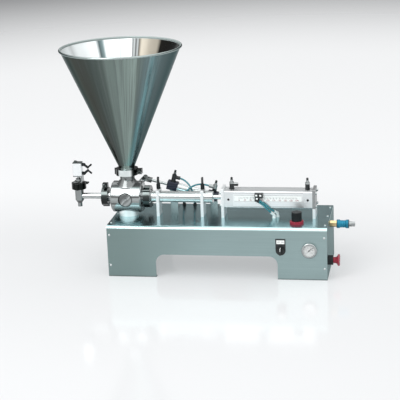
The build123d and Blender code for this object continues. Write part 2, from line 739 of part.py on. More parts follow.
def estop_plunger():
    """Neck that slides in the collar, with a stem behind it and a pin for the head."""
    mouth = RIGHT + ESTOP_COLLAR_H
    inner = mouth - ESTOP_NECK_IN
    neck = bar(ESTOP_NECK_R, (inner, ESTOP_Y, ESTOP_Z), X, ESTOP_NECK_IN + ESTOP_NECK_OUT)
    neck += bar(ESTOP_STEM_R, (inner, ESTOP_Y, ESTOP_Z), -X, ESTOP_BARREL_LENGTH)
    return neck + bar(ESTOP_PIN_R, (mouth + ESTOP_NECK_OUT, ESTOP_Y, ESTOP_Z), X, ESTOP_PIN_H)


def estop_mushroom():
    """Flared head on the plunger's neck, with a socket for the plunger's pin."""
    back = (RIGHT + ESTOP_COLLAR_H + ESTOP_NECK_OUT + FREE, ESTOP_Y, ESTOP_Z)
    edge = ESTOP_FLARE_H + ESTOP_HEAD_SLOPE
    outline = [
        (0, 0),
        (ESTOP_NECK_R, 0),
        (ESTOP_FLARE_R, ESTOP_FLARE_H),
        (ESTOP_HEAD_R, edge),
        (ESTOP_HEAD_R, edge + ESTOP_HEAD_H),
        (0, edge + ESTOP_HEAD_H),
    ]
    head = turned(outline, back, X)
    head = fillet(head.edges().sort_by(Axis.X)[-1], ESTOP_HEAD_H / 2)
    return head - bar(ESTOP_PIN_R + SLIP, back, X, ESTOP_PIN_H)


def inlet_fitting():
    """Brass bulkhead fitting with its lock nut inside the panel."""
    seat = (RIGHT, INLET_Y, INLET_Z)
    body = hexagon(INLET_HEX_R, seat, X, INLET_HEX_LENGTH)
    body += bar(INLET_THREAD_R, seat, -X, INLET_THREAD_LENGTH)
    body -= bar(INLET_BORE_R, (RIGHT - INLET_THREAD_LENGTH, INLET_Y, INLET_Z), X, CAB_LENGTH)
    inside = (RIGHT - SHEET - INLET_NUT_H, INLET_Y, INLET_Z)
    nut = hexagon(INLET_HEX_R, inside, X, INLET_NUT_H) - bar(INLET_THREAD_R + SLIP, inside, X, INLET_NUT_H)
    return [body, nut]


def inlet_valve_body():
    start = RIGHT + INLET_HEX_LENGTH
    core = INLET_END - INLET_END_LENGTH - start
    body = bar(INLET_CORE_R, (start, INLET_Y, INLET_Z), X, core)
    body += hexagon(INLET_END_R, (start + core, INLET_Y, INLET_Z), X, INLET_END_LENGTH)
    body -= bar(INLET_BORE_R, (start, INLET_Y, INLET_Z), X, core)
    return body - bar(INLET_PORT_R, (INLET_END, INLET_Y, INLET_Z), -X, INLET_PORT_DEPTH)


def inlet_sleeve():
    start = (RIGHT + INLET_HEX_LENGTH + FREE, INLET_Y, INLET_Z)
    inner = INLET_CORE_R + SLIP
    outline = [
        (inner, 0),
        (SLEEVE_R, 0),
        (SLEEVE_R, SLEEVE_LIP),
        (SLEEVE_WAIST_R, SLEEVE_LIP * 1.5),
        (SLEEVE_WAIST_R, SLEEVE_LENGTH - SLEEVE_LIP * 1.5),
        (SLEEVE_R, SLEEVE_LENGTH - SLEEVE_LIP),
        (SLEEVE_R, SLEEVE_LENGTH),
        (inner, SLEEVE_LENGTH),
    ]
    return turned(outline, start, X)


# Clamped joints


def clamp_jaws(flange_r, neck_r):
    """Two hinged jaws and their pin, about Z, with the hinge at -X and the bolt ears at +X."""
    outer = flange_r + JAW_WALL
    half = JAW_WIDTH / 2
    lip = GASKET / 2 + FERRULE + JAW_ROOM
    inside = [
        (neck_r + JAW_ROOM, half),
        (neck_r + JAW_ROOM, lip + TAPER),
        (flange_r + JAW_ROOM, lip),
        (flange_r + JAW_ROOM, -lip),
        (neck_r + JAW_ROOM, -lip - TAPER),
        (neck_r + JAW_ROOM, -half),
    ]
    band = turned(inside + [(outer, -half), (outer, half)])
    bolt_x = clamp_bolt_x(flange_r)
    reach = bolt_x + EAR_EDGE
    hinge = Vector(-outer, 0, 0)
    jaws = []
    for side in (-1, 1):
        far = side * 2 * outer
        near = side * JAW_SPLIT / 2
        keep = block(both(2 * outer), sorted((near, far)), both(JAW_WIDTH))
        ear_x = (outer - JAW_WALL / 2, reach)
        ear = block(ear_x, sorted((near, near + side * EAR_THICK)), both(EAR_HEIGHT / 2))
        ear -= bar(CLAMP_BOLT_R + SCREW_ROOM, (bolt_x, -outer, 0), Y, 2 * outer)
        own = bar(KNUCKLE_R, hinge, Z * side, half)
        own -= bar(KNUCKLE_R, hinge, Z * side, FREE / 2)
        other = bar(KNUCKLE_R + FREE, hinge, -Z * side, half)
        jaw = (band & keep) + ear - other + own
        jaws.append(jaw - bar(KNUCKLE_PIN_R + SLIP, hinge - Z * half, Z, JAW_WIDTH))
    return jaws + [bar(KNUCKLE_PIN_R, hinge - Z * half, Z, JAW_WIDTH)]


def clamp_bolt_x(flange_r):
    return flange_r + JAW_WALL + WING_SPAN + FREE


def clamp_bolt(flange_r):
    """Bolt through both ears, head at +Y and thread at -Y, in the clamp's own frame."""
    ear = JAW_SPLIT / 2 + EAR_THICK
    x = clamp_bolt_x(flange_r)
    shank = bar(CLAMP_BOLT_R, (x, ear, 0), -Y, 2 * ear + FREE + WING_HUB_H + THREAD_END)
    return shank + hexagon(CLAMP_BOLT_HEAD_R, (x, ear, 0), Y, CLAMP_BOLT_HEAD_H)


def wing_nut(flange_r):
    """Hub with two wings that rise past its end, in the clamp's own frame."""
    x = clamp_bolt_x(flange_r)
    face = -(JAW_SPLIT / 2 + EAR_THICK + FREE)
    nut = bar(WING_HUB_R, (x, face, 0), -Y, WING_HUB_H)
    span = (x - WING_SPAN, x + WING_SPAN)
    wings = block(span, (face - WING_HUB_H - WING_RISE, face - FREE), both(WING_THICK / 2))
    nut += fillet(wings.edges().filter_by(Axis.Z), WING_THICK / 2)
    start = (x, face, 0)
    nut -= bar(WING_HUB_R - EDGE, (x, face - WING_HUB_H, 0), -Y, WING_RISE + FREE)
    return nut - bar(CLAMP_BOLT_R + SLIP, start, -Y, WING_HUB_H + WING_RISE)


def gasket(flange_r, bore_r):
    return ring(flange_r, bore_r, (0, 0, -GASKET / 2), Z, GASKET)


CLAMPS = {
    "hopper": (
        Plane((VALVE_X, 0, HOPPER_JOINT), x_dir=X, z_dir=Z),
        LARGE_FLANGE_R,
        LARGE_NECK_R,
        HOPPER_OUTLET_R,
    ),
    "cylinder": (
        Plane((CYLINDER_JOINT, 0, AXIS), x_dir=Y - Z, z_dir=-X),
        LARGE_FLANGE_R,
        LARGE_NECK_R,
        TUBE_BORE_R,
    ),
    "outlet": (
        Plane((OUTLET_JOINT, 0, AXIS), x_dir=Z, z_dir=-X),
        MEDIUM_FLANGE_R,
        MEDIUM_NECK_R,
        PIPE_BORE_R,
    ),
    "nozzle": (
        Plane((NOZZLE_X, 0, NOZZLE_JOINT), x_dir=Y, z_dir=Z),
        SMALL_FLANGE_R,
        NOZZLE_R,
        NOZZLE_BORE_R,
    ),
}


# Valve and hopper


def valve_body():
    """Round body along X with a shouldered neck for the hopper, two end necks and a pocketed spool bore."""
    body = bar(VALVE_R, (VALVE_LEFT, 0, AXIS), X, VALVE_LENGTH)
    ends = body.edges().filter_by(GeomType.CIRCLE)
    body = chamfer(ends, VALVE_EDGE)
    top = HOPPER_NECK - GASKET / 2
    shoulder = [
        (0, SHOULDER_BOTTOM),
        (SHOULDER_R, SHOULDER_BOTTOM),
        (SHOULDER_R, SHOULDER_EDGE),
        (LARGE_NECK_R, SHOULDER_TOP),
        (LARGE_NECK_R, top - FERRULE - TAPER),
        (LARGE_FLANGE_R, top - FERRULE),
        (LARGE_FLANGE_R, top),
        (0, top),
    ]
    body += turned(shoulder, (VALVE_X, 0, AXIS))
    body += turned([(0, 0)] + end_neck(CYLINDER_NECK, LARGE_FLANGE_R, LARGE_NECK_R), (VALVE_X, 0, AXIS), X)
    body += turned([(0, 0)] + end_neck(OUTLET_NECK, MEDIUM_FLANGE_R, MEDIUM_NECK_R), (VALVE_X, 0, AXIS), -X)
    body -= bar(SPOOL_R + SLIP, (VALVE_X, -VALVE_R, AXIS), Y, 2 * VALVE_R)
    for side in (-1, 1):
        body -= bar(POCKET_R, (VALVE_X, side * VALVE_FACE, AXIS), Y * side, POCKET_DEPTH)
    body -= bar(HOPPER_PORT_R, (VALVE_X, 0, AXIS), Z, HOPPER_NECK)
    mouth = [(0, SHOULDER_TOP), (HOPPER_PORT_R, SHOULDER_TOP), (HOPPER_OUTLET_R - HOPPER_WALL, top), (0, top)]
    body -= turned(mouth, (VALVE_X, 0, AXIS))
    body -= bar(CYLINDER_PORT_R, (VALVE_X, 0, AXIS), X, VALVE_LENGTH)
    body -= bar(OUTLET_PORT_R, (VALVE_X, 0, AXIS), -X, VALVE_LENGTH)
    dimple = (VALVE_X, -LARGE_NECK_R, AXIS + NECK_DIMPLE_H)
    return body - bar(NECK_DIMPLE_R, dimple, Y, NECK_DIMPLE_DEPTH)


def end_neck(neck, flange_r, neck_r):
    """Outline of a neck on a valve end, measured from the middle of the valve."""
    face = VALVE_LENGTH / 2 + neck - GASKET / 2
    flange = [(neck_r, face - FERRULE - TAPER), (flange_r, face - FERRULE), (flange_r, face), (0, face)]
    return [(neck_r, 0)] + flange


def valve_pedestal():
    column = bar(PEDESTAL_R, (VALVE_X, 0, DECK), Z, AXIS_HEIGHT - VALVE_R / 2)
    return column - bar(VALVE_R + SEAT, (VALVE_LEFT, 0, AXIS), X, VALVE_LENGTH)


def valve_spool():
    """Plug with an open chamber, a closed sector over the shut port and a shaft for the lever."""
    end = VALVE_FACE + FREE
    spool = bar(SPOOL_R, (VALVE_X, -end, AXIS), Y, 2 * end)
    chamber = bar(SPOOL_R + SLIP, (VALVE_X, -CHAMBER / 2, AXIS), Y, CHAMBER)
    reach = 2 * SPOOL_R
    low = radians(SECTOR_LOW)
    high = radians(SECTOR_HIGH)
    wedge = Polyline(
        (0, 0),
        (reach * cos(low), reach * sin(low)),
        (0, reach * 2),
        (reach * cos(high), reach * sin(high)),
        close=True,
    )
    frame = Plane((VALVE_X, CHAMBER / 2, AXIS), x_dir=X, z_dir=-Y)
    sector = frame * extrude(make_face(wedge), CHAMBER)
    sector -= bar(SPOOL_R - SECTOR_WALL, (VALVE_X, -CHAMBER, AXIS), Y, 2 * CHAMBER)
    spool -= chamber - sector
    lever = LEVER_Y - LEVER_THICK / 2
    spool += bar(LEVER_NECK_R, (VALVE_X, end, AXIS), Y, lever - end)
    spool += bar(LEVER_SHAFT_R, (VALVE_X, lever, AXIS), Y, LEVER_THICK + LEVER_NUT_H + THREAD_END)
    return spool - bar(SPOOL_SCREW_R + SLIP, (VALVE_X, -end, AXIS), Y, SPOOL_SCREW_GRIP)


def spool_retainer():
    """Disc on the front end of the spool, with its socket screw."""
    face = -(VALVE_FACE + FREE)
    disc = bar(RETAINER_R, (VALVE_X, face, AXIS), -Y, RETAINER_THICK)
    disc = fillet(disc.edges().sort_by(Axis.Y)[0], ROUND)
    disc -= bar(SPOOL_SCREW_R + SLIP, (VALVE_X, face, AXIS), -Y, RETAINER_THICK)
    seat = face - RETAINER_THICK
    head = bar(RETAINER_SCREW_R, (VALVE_X, seat, AXIS), -Y, RETAINER_SCREW_H)
    head -= hexagon(SOCKET_R, (VALVE_X, seat - RETAINER_SCREW_H, AXIS), Y, SOCKET_DEPTH)
    head += bar(SPOOL_SCREW_R, (VALVE_X, seat, AXIS), Y, RETAINER_THICK + SPOOL_SCREW_GRIP - THREAD_END)
    return [disc, head]


def valve_lever():
    """Slotted lever on the spool shaft, turned to its resting angle, and its nut."""
    far = LEVER_ARM / cos(radians(LEVER_TURN / 2))
    slot_r = LEVER_PIN_R + LEVER_SLOT_ROOM
    tip = far + slot_r
    shape = Circle(LEVER_HUB_R) + Pos(tip / 2, 0) * Rectangle(tip, LEVER_WIDTH)
    shape += Pos(tip, 0) * Circle(LEVER_WIDTH / 2)
    slot = Pos((LEVER_ARM + far) / 2, 0) * Rectangle(far - LEVER_ARM, 2 * slot_r)
    slot += Pos(LEVER_ARM, 0) * Circle(slot_r) + Pos(far, 0) * Circle(slot_r)
    shape -= slot + Circle(LEVER_SHAFT_R + SLIP)
    rest = 90 - ACT_TILT - LEVER_TURN / 2
    direction = Vector(cos(radians(rest)), 0, sin(radians(rest)))
    frame = Plane((VALVE_X, LEVER_Y + LEVER_THICK / 2, AXIS), x_dir=direction, z_dir=-Y)
    lever = frame * extrude(shape, LEVER_THICK)
    seat = (VALVE_X, LEVER_Y + LEVER_THICK / 2, AXIS)
    nut = hexagon(LEVER_NUT_R, seat, Y, LEVER_NUT_H) - bar(LEVER_SHAFT_R + SLIP, seat, Y, LEVER_NUT_H)
    return [lever, nut]


def hopper():
    """Thin cone with a rolled rim, on its outlet tube and flange."""
    foot = HOPPER_OUTLET_LENGTH
    rim = foot + HOPPER_CONE
    inner = HOPPER_OUTLET_R - HOPPER_WALL
    outline = [
        (inner, GASKET / 2),
        (LARGE_FLANGE_R, GASKET / 2),
        (LARGE_FLANGE_R, GASKET / 2 + FERRULE),
        (HOPPER_OUTLET_R, GASKET / 2 + FERRULE + TAPER),
        (HOPPER_OUTLET_R, foot),
        (HOPPER_RIM_R, rim),
        (HOPPER_RIM_R - HOPPER_WALL, rim),
        (inner, foot),
    ]
    bead = Pos(HOPPER_RIM_R, rim) * Circle(HOPPER_BEAD_R)
    section = make_face(Polyline(*outline, close=True)) + bead
    return Pos(VALVE_X, 0, HOPPER_JOINT) * (Rot(90, 0, 0) * revolve(section, Axis.Y))


# Outlet pipe and nozzle


def outlet_pipe():
    face = GASKET / 2
    flange = joint_flange(MEDIUM_FLANGE_R, MEDIUM_NECK_R)
    end = OUTLET_REACH - NOZZLE_BORE_R - EDGE
    neck = face + FERRULE + 2 * TAPER
    outline = [(PIPE_BORE_R, face)] + flange + [(PIPE_R, neck), (PIPE_R, end), (PIPE_BORE_R, end)]
    return turned(outline, (OUTLET_JOINT, 0, AXIS), -X)


def nozzle_body():
    """Upright body below the nozzle joint, with a seat and a narrow tip."""
    top = NOZZLE_TOP - GASKET / 2
    outline = [
        (NOZZLE_BORE_R, top),
        (SMALL_FLANGE_R, top),
        (SMALL_FLANGE_R, top - FERRULE),
        (NOZZLE_R, top - FERRULE - TAPER),
        (NOZZLE_R, -NOZZLE_TAPER_TOP),
        (NOZZLE_TIP_R, -NOZZLE_TAPER_END),
        (NOZZLE_TIP_R, -NOZZLE_TIP),
        (NOZZLE_TIP_BORE_R, -NOZZLE_TIP),
        (NOZZLE_TIP_BORE_R, -NOZZLE_SEAT_END),
        (NOZZLE_BORE_R, -NOZZLE_SEAT_TOP),
    ]
    body = turned(outline, (NOZZLE_X, 0, AXIS))
    return body - bar(PIPE_R + SLIP, (NOZZLE_X, 0, AXIS), X, NOZZLE_R + EDGE)


def nozzle_bonnet():
    base = GASKET / 2
    flange = joint_flange(SMALL_FLANGE_R, NOZZLE_R)
    top = bonnet_top() - NOZZLE_JOINT
    bore = STEM_R + SLIP
    outline = [(bore, base)] + flange + [(BONNET_NECK_R, flange[-1][1]), (BONNET_NECK_R, top), (bore, top)]
    return turned(outline, (NOZZLE_X, 0, NOZZLE_JOINT))


def bonnet_top():
    """The bracket stands on the bonnet, clear of the clamp's upper edge."""
    return NOZZLE_JOINT + JAW_WIDTH / 2 + BONNET_NECK


def small_cylinder_base():
    return bonnet_top() + 2 * BRACKET_THICK + BRACKET_GAP


def coupling_base():
    return bonnet_top() + BRACKET_THICK + FREE


def nozzle_plug():
    """Cone-ended plug on its stem, closed on the seat at rest."""
    slope = (NOZZLE_BORE_R - NOZZLE_TIP_BORE_R) / (NOZZLE_SEAT_END - NOZZLE_SEAT_TOP)
    tip = NOZZLE_SEAT_END - FREE
    tip_r = NOZZLE_TIP_BORE_R
    side = tip - (PLUG_R - tip_r) / slope
    top = coupling_base() - AXIS + COUPLING / 2
    outline = [(0, -tip), (tip_r, -tip), (PLUG_R, -side), (PLUG_R, -side + PLUG_LENGTH)]
    outline += [(STEM_R, -side + PLUG_LENGTH), (STEM_R, top), (0, top)]
    return turned(outline, (NOZZLE_X, 0, AXIS))


def nozzle_coupling():
    """Coupling between the plug's stem and the rod of the small cylinder, with that rod and its piston."""
    base = coupling_base()
    coupling = bar(COUPLING_R, (NOZZLE_X, 0, base), Z, COUPLING)
    coupling = chamfer(coupling.edges().filter_by(GeomType.CIRCLE), EDGE)
    coupling -= bar(STEM_R + SLIP, (NOZZLE_X, 0, base), Z, COUPLING / 2)
    top = base + COUPLING
    piston = small_cylinder_base() + SMALL_CYL_FLOOR + FREE
    rod = bar(SMALL_ROD_R, (NOZZLE_X, 0, top), Z, piston - top)
    return [coupling, rod + bar(SMALL_CYL_BORE_R - SLIP, (NOZZLE_X, 0, piston), Z, SMALL_PISTON_H)]


def nozzle_bracket():
    """C-shaped bracket that stands on the bonnet and carries the small cylinder."""
    base = bonnet_top()
    top = small_cylinder_base()
    half = SMALL_CYL / 2
    x = (NOZZLE_X - half, NOZZLE_X + half)
    y = both(BRACKET_WIDTH / 2)
    bracket = block((x[1] - BRACKET_WALL, x[1]), y, (base, top))
    bracket += block(x, y, (base, base + BRACKET_THICK)) + block(x, y, (top - BRACKET_THICK, top))
    bracket -= bar(STEM_R + FREE, (NOZZLE_X, 0, base), Z, BRACKET_THICK)
    return bracket - bar(SMALL_ROD_R + FREE, (NOZZLE_X, 0, top - BRACKET_THICK), Z, BRACKET_THICK)


def nozzle_cylinder():
    base = small_cylinder_base()
    half = SMALL_CYL / 2
    x = (NOZZLE_X - half, NOZZLE_X + half)
    body = block(x, both(SMALL_CYL_DEPTH / 2), (base, base + SMALL_CYL_H))
    body = chamfer(body.edges().filter_by(Axis.Z), ROUND)
    body -= bar(SMALL_ROD_R + SLIP, (NOZZLE_X, 0, base), Z, SMALL_CYL_FLOOR)
    return body - bar(SMALL_CYL_BORE_R, (NOZZLE_X, 0, base + SMALL_CYL_FLOOR), Z, SMALL_CYL_H)


def nozzle_cylinder_cap():
    base = small_cylinder_base() + SMALL_CYL_H
    half = SMALL_CYL / 2
    cap = block((NOZZLE_X - half, NOZZLE_X + half), both(SMALL_CYL_DEPTH / 2), (base, base + SMALL_CAP_H))
    cap = chamfer(cap.edges().filter_by(Axis.Z), ROUND)
    return cap + bar(SMALL_NUB_R, (NOZZLE_X - half / 2, 0, base + SMALL_CAP_H), Z, SMALL_NUB_H)


def nozzle_elbows():
    """Two push-in elbows on the side of the small cylinder, bent toward each other and out again."""
    base = small_cylinder_base()
    elbows = []
    for z, turn in ((base + ELBOW_INSET, 1), (base + SMALL_CYL_H - ELBOW_INSET, -1)):
        side = Vector(NOZZLE_X + SMALL_CYL / 2, 0, z)
        bend = side + X * ELBOW_HEX_LENGTH
        angle = radians(ELBOW_ANGLE)
        inward = Vector(cos(angle), 0, turn * sin(angle))
        outward = Vector(cos(angle), 0, -turn * sin(angle))
        knee = bend + inward * ELBOW_ARM
        elbow = hexagon(ELBOW_HEX_R, side, X, ELBOW_HEX_LENGTH)
        elbow += Pos(*bend) * Sphere(ELBOW_HEX_R - EDGE)
        elbow += bar(ELBOW_ARM_R, bend, inward, ELBOW_ARM)
        elbow += Pos(*knee) * Sphere(ELBOW_ARM_R)
        elbows.append(elbow + bar(ELBOW_TAIL_R, knee, outward, ELBOW_TAIL))
    return elbows


# Metering cylinder and posts


def material_cylinder():
    start = GASKET / 2
    flange = joint_flange(LARGE_FLANGE_R, LARGE_NECK_R)
    neck = start + FERRULE + 2 * TAPER
    end = start + TUBE_LENGTH
    outline = [(TUBE_BORE_R, start)] + flange + [(TUBE_R, neck), (TUBE_R, end), (TUBE_BORE_R, end)]
    return turned(outline, (CYLINDER_JOINT, 0, AXIS), X)


def cylinder_rear_cap():
    cap = bar(REAR_CAP_R, (TUBE_END, 0, AXIS), X, REAR_CAP_LENGTH)
    cap = chamfer(cap.edges().filter_by(GeomType.CIRCLE), EDGE)
    cap += bar(TUBE_BORE_R - SLIP, (TUBE_END, 0, AXIS), -X, REAR_CAP_SPIGOT)
    start = (TUBE_END - REAR_CAP_SPIGOT, 0, AXIS)
    return cap - bar(ROD_R + SLIP, start, X, REAR_CAP_SPIGOT + REAR_CAP_LENGTH)


def seal_starts(front, length):
    """Near faces of the two seal grooves of a piston."""
    return (front + SEAL_WIDTH, front + length - 2 * SEAL_WIDTH)


def piston(front, length, radius):
    body = ring(radius, ROD_SPIGOT_R + SLIP, (front, 0, AXIS), X, length)
    for start in seal_starts(front, length):
        body -= ring(radius + EDGE, radius - SEAL_DEPTH, (start, 0, AXIS), X, SEAL_WIDTH)
    return body


def piston_seals():
    seals = []
    for front, length, radius, bore in PISTONS:
        for start in seal_starts(front, length):
            seals.append(ring(bore - SEAT, radius - SEAL_DEPTH, (start, 0, AXIS), X, SEAL_WIDTH))
    return seals


PISTONS = (
    (PISTON_BACK - PISTON_LENGTH, PISTON_LENGTH, TUBE_BORE_R - SLIP, TUBE_BORE_R),
    (DRIVE_PISTON_FACE, DRIVE_PISTON_LENGTH, DRIVE_BORE_R - SLIP, DRIVE_BORE_R),
)


def piston_rod():
    """One rod from the metering piston to the drive piston, with a spigot in each."""
    rod = bar(ROD_R, (PISTON_BACK, 0, AXIS), X, DRIVE_PISTON_FACE - PISTON_BACK)
    rod += bar(ROD_SPIGOT_R, (PISTON_BACK, 0, AXIS), -X, PISTON_LENGTH)
    return rod + bar(ROD_SPIGOT_R, (DRIVE_PISTON_FACE, 0, AXIS), X, DRIVE_PISTON_LENGTH)


def post(start, width, rise):
    """An upright plate on the deck, tapped from below."""
    plate = block((start, start + POST_THICK), both(width / 2), (DECK, AXIS + rise))
    upper = plate.edges().filter_by(Axis.X).group_by(Axis.Z)[-1]
    plate = chamfer(upper, ROUND)
    for place in post_screw_places():
        plate -= bar(POST_SCREW_R + SLIP, place, Z, POST_SCREW_GRIP + FREE)
    return plate


def cylinder_post(start, bore_r):
    """Post with a bore for the metering cylinder and a tapped hole for the clamp knob."""
    plate = post(start, POST_WIDTH, POST_TOP)
    plate -= bar(bore_r + SLIP, (start, 0, AXIS), X, POST_THICK)
    return plate - bar(KNOB_STUD_R + SLIP, (start + POST_THICK / 2, 0, AXIS), Z, POST_TOP)


def clamp_knob(start, seat_r):
    """Knob with a flat blade, on a stud that bears on the cylinder."""
    x = start + POST_THICK / 2
    base = AXIS + POST_TOP + FREE
    knob = bar(KNOB_BASE_R, (x, 0, base), Z, KNOB_BASE_H)
    knob = chamfer(knob.edges().filter_by(GeomType.CIRCLE), EDGE)
    blade_x = (x - KNOB_BLADE_THICK / 2, x + KNOB_BLADE_THICK / 2)
    top = base + KNOB_BASE_H + KNOB_BLADE_H
    blade = block(blade_x, both(KNOB_BLADE_WIDTH / 2), (base + KNOB_BASE_H - ROUND, top))
    blade = fillet(blade.edges().filter_by(Axis.X).group_by(Axis.Z)[-1], KNOB_BLADE_WIDTH / 3)
    foot = AXIS + seat_r + FREE
    return knob + blade + bar(KNOB_STUD_R, (x, 0, foot), Z, base - foot)


# Drive cylinder


def drive_bolt_places():
    half = DRIVE_BOLT_PITCH / 2
    return [(y, AXIS + z) for y in (-half, half) for z in (-half, half)]


def drive_section(start, length):
    half = DRIVE_SIDE / 2
    body = block((start, start + length), both(half), (AXIS - half, AXIS + half))
    return chamfer(body.edges().filter_by(Axis.X), DRIVE_EDGE)


def drive_barrel():
    barrel = drive_section(BARREL_START, BARREL_LENGTH)
    return barrel - bar(DRIVE_BORE_R, (BARREL_START, 0, AXIS), X, BARREL_LENGTH)


def drive_head(start, outer_end):
    """An end block; the bolts enter it from the post at its outer end."""
    head = drive_section(start, HEAD_LENGTH)
    inward = X if outer_end == start else -X
    for y, z in drive_bolt_places():
        head -= bar(DRIVE_BOLT_R + SLIP, (outer_end, y, z), inward, DRIVE_BOLT_GRIP - POST_THICK + FREE)
    recess = (start + HEAD_LENGTH / 2, -DRIVE_SIDE / 2, AXIS)
    return head - bar(CUSHION_R, recess, Y, CUSHION_DEPTH)


def drive_front_head():
    head = drive_head(DRIVE_START, DRIVE_START)
    return head - bar(ROD_R + SLIP, (DRIVE_START, 0, AXIS), X, HEAD_LENGTH)


def drive_rear_head():
    return drive_head(BARREL_END, POST_4)


def drive_post(start, rod_bore_r):
    plate = post(start, DRIVE_POST_WIDTH, DRIVE_POST_TOP)
    for y, z in drive_bolt_places():
        plate -= bar(DRIVE_BOLT_R + SLIP, (start, y, z), X, POST_THICK)
    if rod_bore_r:
        plate -= bar(rod_bore_r, (start, 0, AXIS), X, POST_THICK)
    return plate


def drive_bolts():
    bolts = []
    for face, inward in ((POST_3, X), (POST_4 + POST_THICK, -X)):
        for y, z in drive_bolt_places():
            head = bar(DRIVE_BOLT_HEAD_R, (face, y, z), -inward, DRIVE_BOLT_HEAD_H)
            socket = Vector(face, y, z) - inward * DRIVE_BOLT_HEAD_H
            head -= hexagon(DRIVE_SOCKET_R, socket, inward, SOCKET_DEPTH)
            bolts.append(head + bar(DRIVE_BOLT_R, (face, y, z), inward, DRIVE_BOLT_GRIP))
    return bolts


def stroke_scale():
    face = -DRIVE_SIDE / 2
    x = (BARREL_START + SCALE_INSET, BARREL_END - SCALE_INSET)
    return block(x, (face - SCALE_THICK, face), (AXIS + SCALE_LOW, AXIS + SCALE_HIGH))


def limit_valve():
    """Block on the front of the barrel, stepped over the scale, with a port side for two hoses."""
    face = -DRIVE_SIDE / 2
    back = face - SCALE_THICK
    front = back - LIMIT_THICK
    top = AXIS + DRIVE_SIDE / 2 - LIMIT_TOP_GAP
    under = AXIS + LIMIT_UNDERSIDE
    left = LIMIT_X - LIMIT_WIDTH / 2
    x = (left, left + LIMIT_WIDTH)
    body = block(x, (front, back), (under, top))
    body += block(x, (back, face), (AXIS + SCALE_HIGH, top))
    body += block((left, left + LIMIT_PORT_WIDTH), (front, back), (under - LIMIT_PORT_DROP, under))
    for route in HOSES["limit_valve"]:
        start = Vector(route[0])
        heading = (Vector(route[1]) - start).normalized()
        body += bar(LIMIT_NIPPLE_R, start, -heading, LIMIT_NIPPLE_LENGTH)
    return body


# Speed controllers

CONTROLLERS = {
    "drive_front": (Plane((DRIVE_START + FRONT_PORT_INSET, 0, AXIS + DRIVE_SIDE / 2), x_dir=X, z_dir=Z), 1),
    "drive_rear": (Plane((POST_4 - REAR_PORT_INSET, 0, AXIS + DRIVE_SIDE / 2), x_dir=Y, z_dir=Z), 1),
    "actuator_front": (
        Plane(PIN + ALONG * (ACT_NOSE + ACT_PORT_INSET) + ACROSS * ACT_CAP / 2, x_dir=ALONG, z_dir=ACROSS),
        1,
    ),
    "actuator_rear": (
        Plane(PIN + ALONG * (ACT_END - ACT_PORT_INSET) + ACROSS * ACT_CAP / 2, x_dir=ALONG, z_dir=ACROSS),
        -1,
    ),
}


def speed_controller(side):
    """Body with a side arm for the hose, standing on Z with the arm along X."""
    body = hexagon(CTRL_HEX_R, (0, 0, 0), Z, CTRL_HEX_H)
    body += bar(CTRL_BODY_R, (0, 0, 0), Z, CTRL_HEX_H + CTRL_BODY_H)
    body += bar(CTRL_ARM_R, (0, 0, CTRL_ARM_HEIGHT), X * side, CTRL_ARM_LENGTH)
    stem = CTRL_HEX_H + CTRL_BODY_H
    body += bar(CTRL_STEM_R, (0, 0, stem), Z, CTRL_STEM_H)
    port = Vector(side * CTRL_ARM_LENGTH, 0, CTRL_ARM_HEIGHT)
    body -= bar(HOSE_R + SLIP, port, X * -side, CTRL_SOCKET_DEPTH)
    return body - bar(CTRL_NEEDLE_R + SLIP, (0, 0, stem + CTRL_STEM_H), -Z, CTRL_NEEDLE_LENGTH + FREE)


def speed_screw():
    """Adjusting screw on top of a speed controller, with its needle."""
    base = CTRL_HEX_H + CTRL_BODY_H + CTRL_STEM_H + FREE
    head = bar(CTRL_SCREW_R, (0, 0, base), Z, CTRL_SCREW_H)
    head = chamfer(head.edges().sort_by(Axis.Z)[-1], EDGE)
    top = base + CTRL_SCREW_H
    head -= block(both(CTRL_SCREW_R), both(CTRL_SLOT_WIDTH / 2), (top - CTRL_SLOT_DEPTH, top))
    return head + bar(CTRL_NEEDLE_R, (0, 0, base), -Z, CTRL_NEEDLE_LENGTH)


# Valve actuator, in the frame of its rod: X along the rod away from the pin, Z across it


def actuator_body():
    half = ACT_CAP / 2
    front = block((ACT_NOSE, ACT_BARREL_START), both(half), both(half))
    front = chamfer(front.edges().filter_by(Axis.X), ROUND)
    front -= bar(ACT_ROD_R + SLIP, (ACT_NOSE, 0, 0), X, ACT_CAP_LENGTH)
    rear = block((ACT_BARREL_END, ACT_END), both(half), both(half))
    rear = chamfer(rear.edges().filter_by(Axis.X), ROUND)
    barrel = ring(ACT_BARREL_R, ACT_BORE_R, (ACT_BARREL_START, 0, 0), X, ACT_BARREL_LENGTH)
    return [ACTUATOR * piece for piece in (front, barrel, rear)]


def actuator_rod():
    back = ACT_BARREL_END - ACT_PISTON_ROOM - ACT_PISTON
    rod = bar(ACT_ROD_R, (FORK_ROOT + FORK_WEB, 0, 0), X, back - FORK_ROOT - FORK_WEB)
    return ACTUATOR * (rod + bar(ACT_BORE_R - SLIP, (back, 0, 0), X, ACT_PISTON))


def actuator_fork():
    """Fork that straddles the lever, with the pin that runs in the lever's slot."""
    wide = FORK_WIDTH / 2
    tall = FORK_HEIGHT / 2
    fork = block((-FORK_REACH, FORK_LENGTH), both(wide), both(tall))
    fork = fillet(fork.edges().filter_by(Axis.Y).group_by(Axis.X)[0], FORK_REACH - ROUND)
    fork -= block((-FORK_REACH, FORK_ROOT), both(LEVER_THICK / 2 + FORK_SIDE_ROOM), both(tall))
    fork -= bar(ACT_ROD_R + SLIP, (FORK_ROOT + FORK_WEB, 0, 0), X, FORK_LENGTH)
    pin = bar(LEVER_PIN_R, (0, -wide, 0), Y, FORK_WIDTH)
    return [ACTUATOR * (fork - bar(LEVER_PIN_R + SLIP, (0, -wide, 0), Y, FORK_WIDTH)), ACTUATOR * pin]


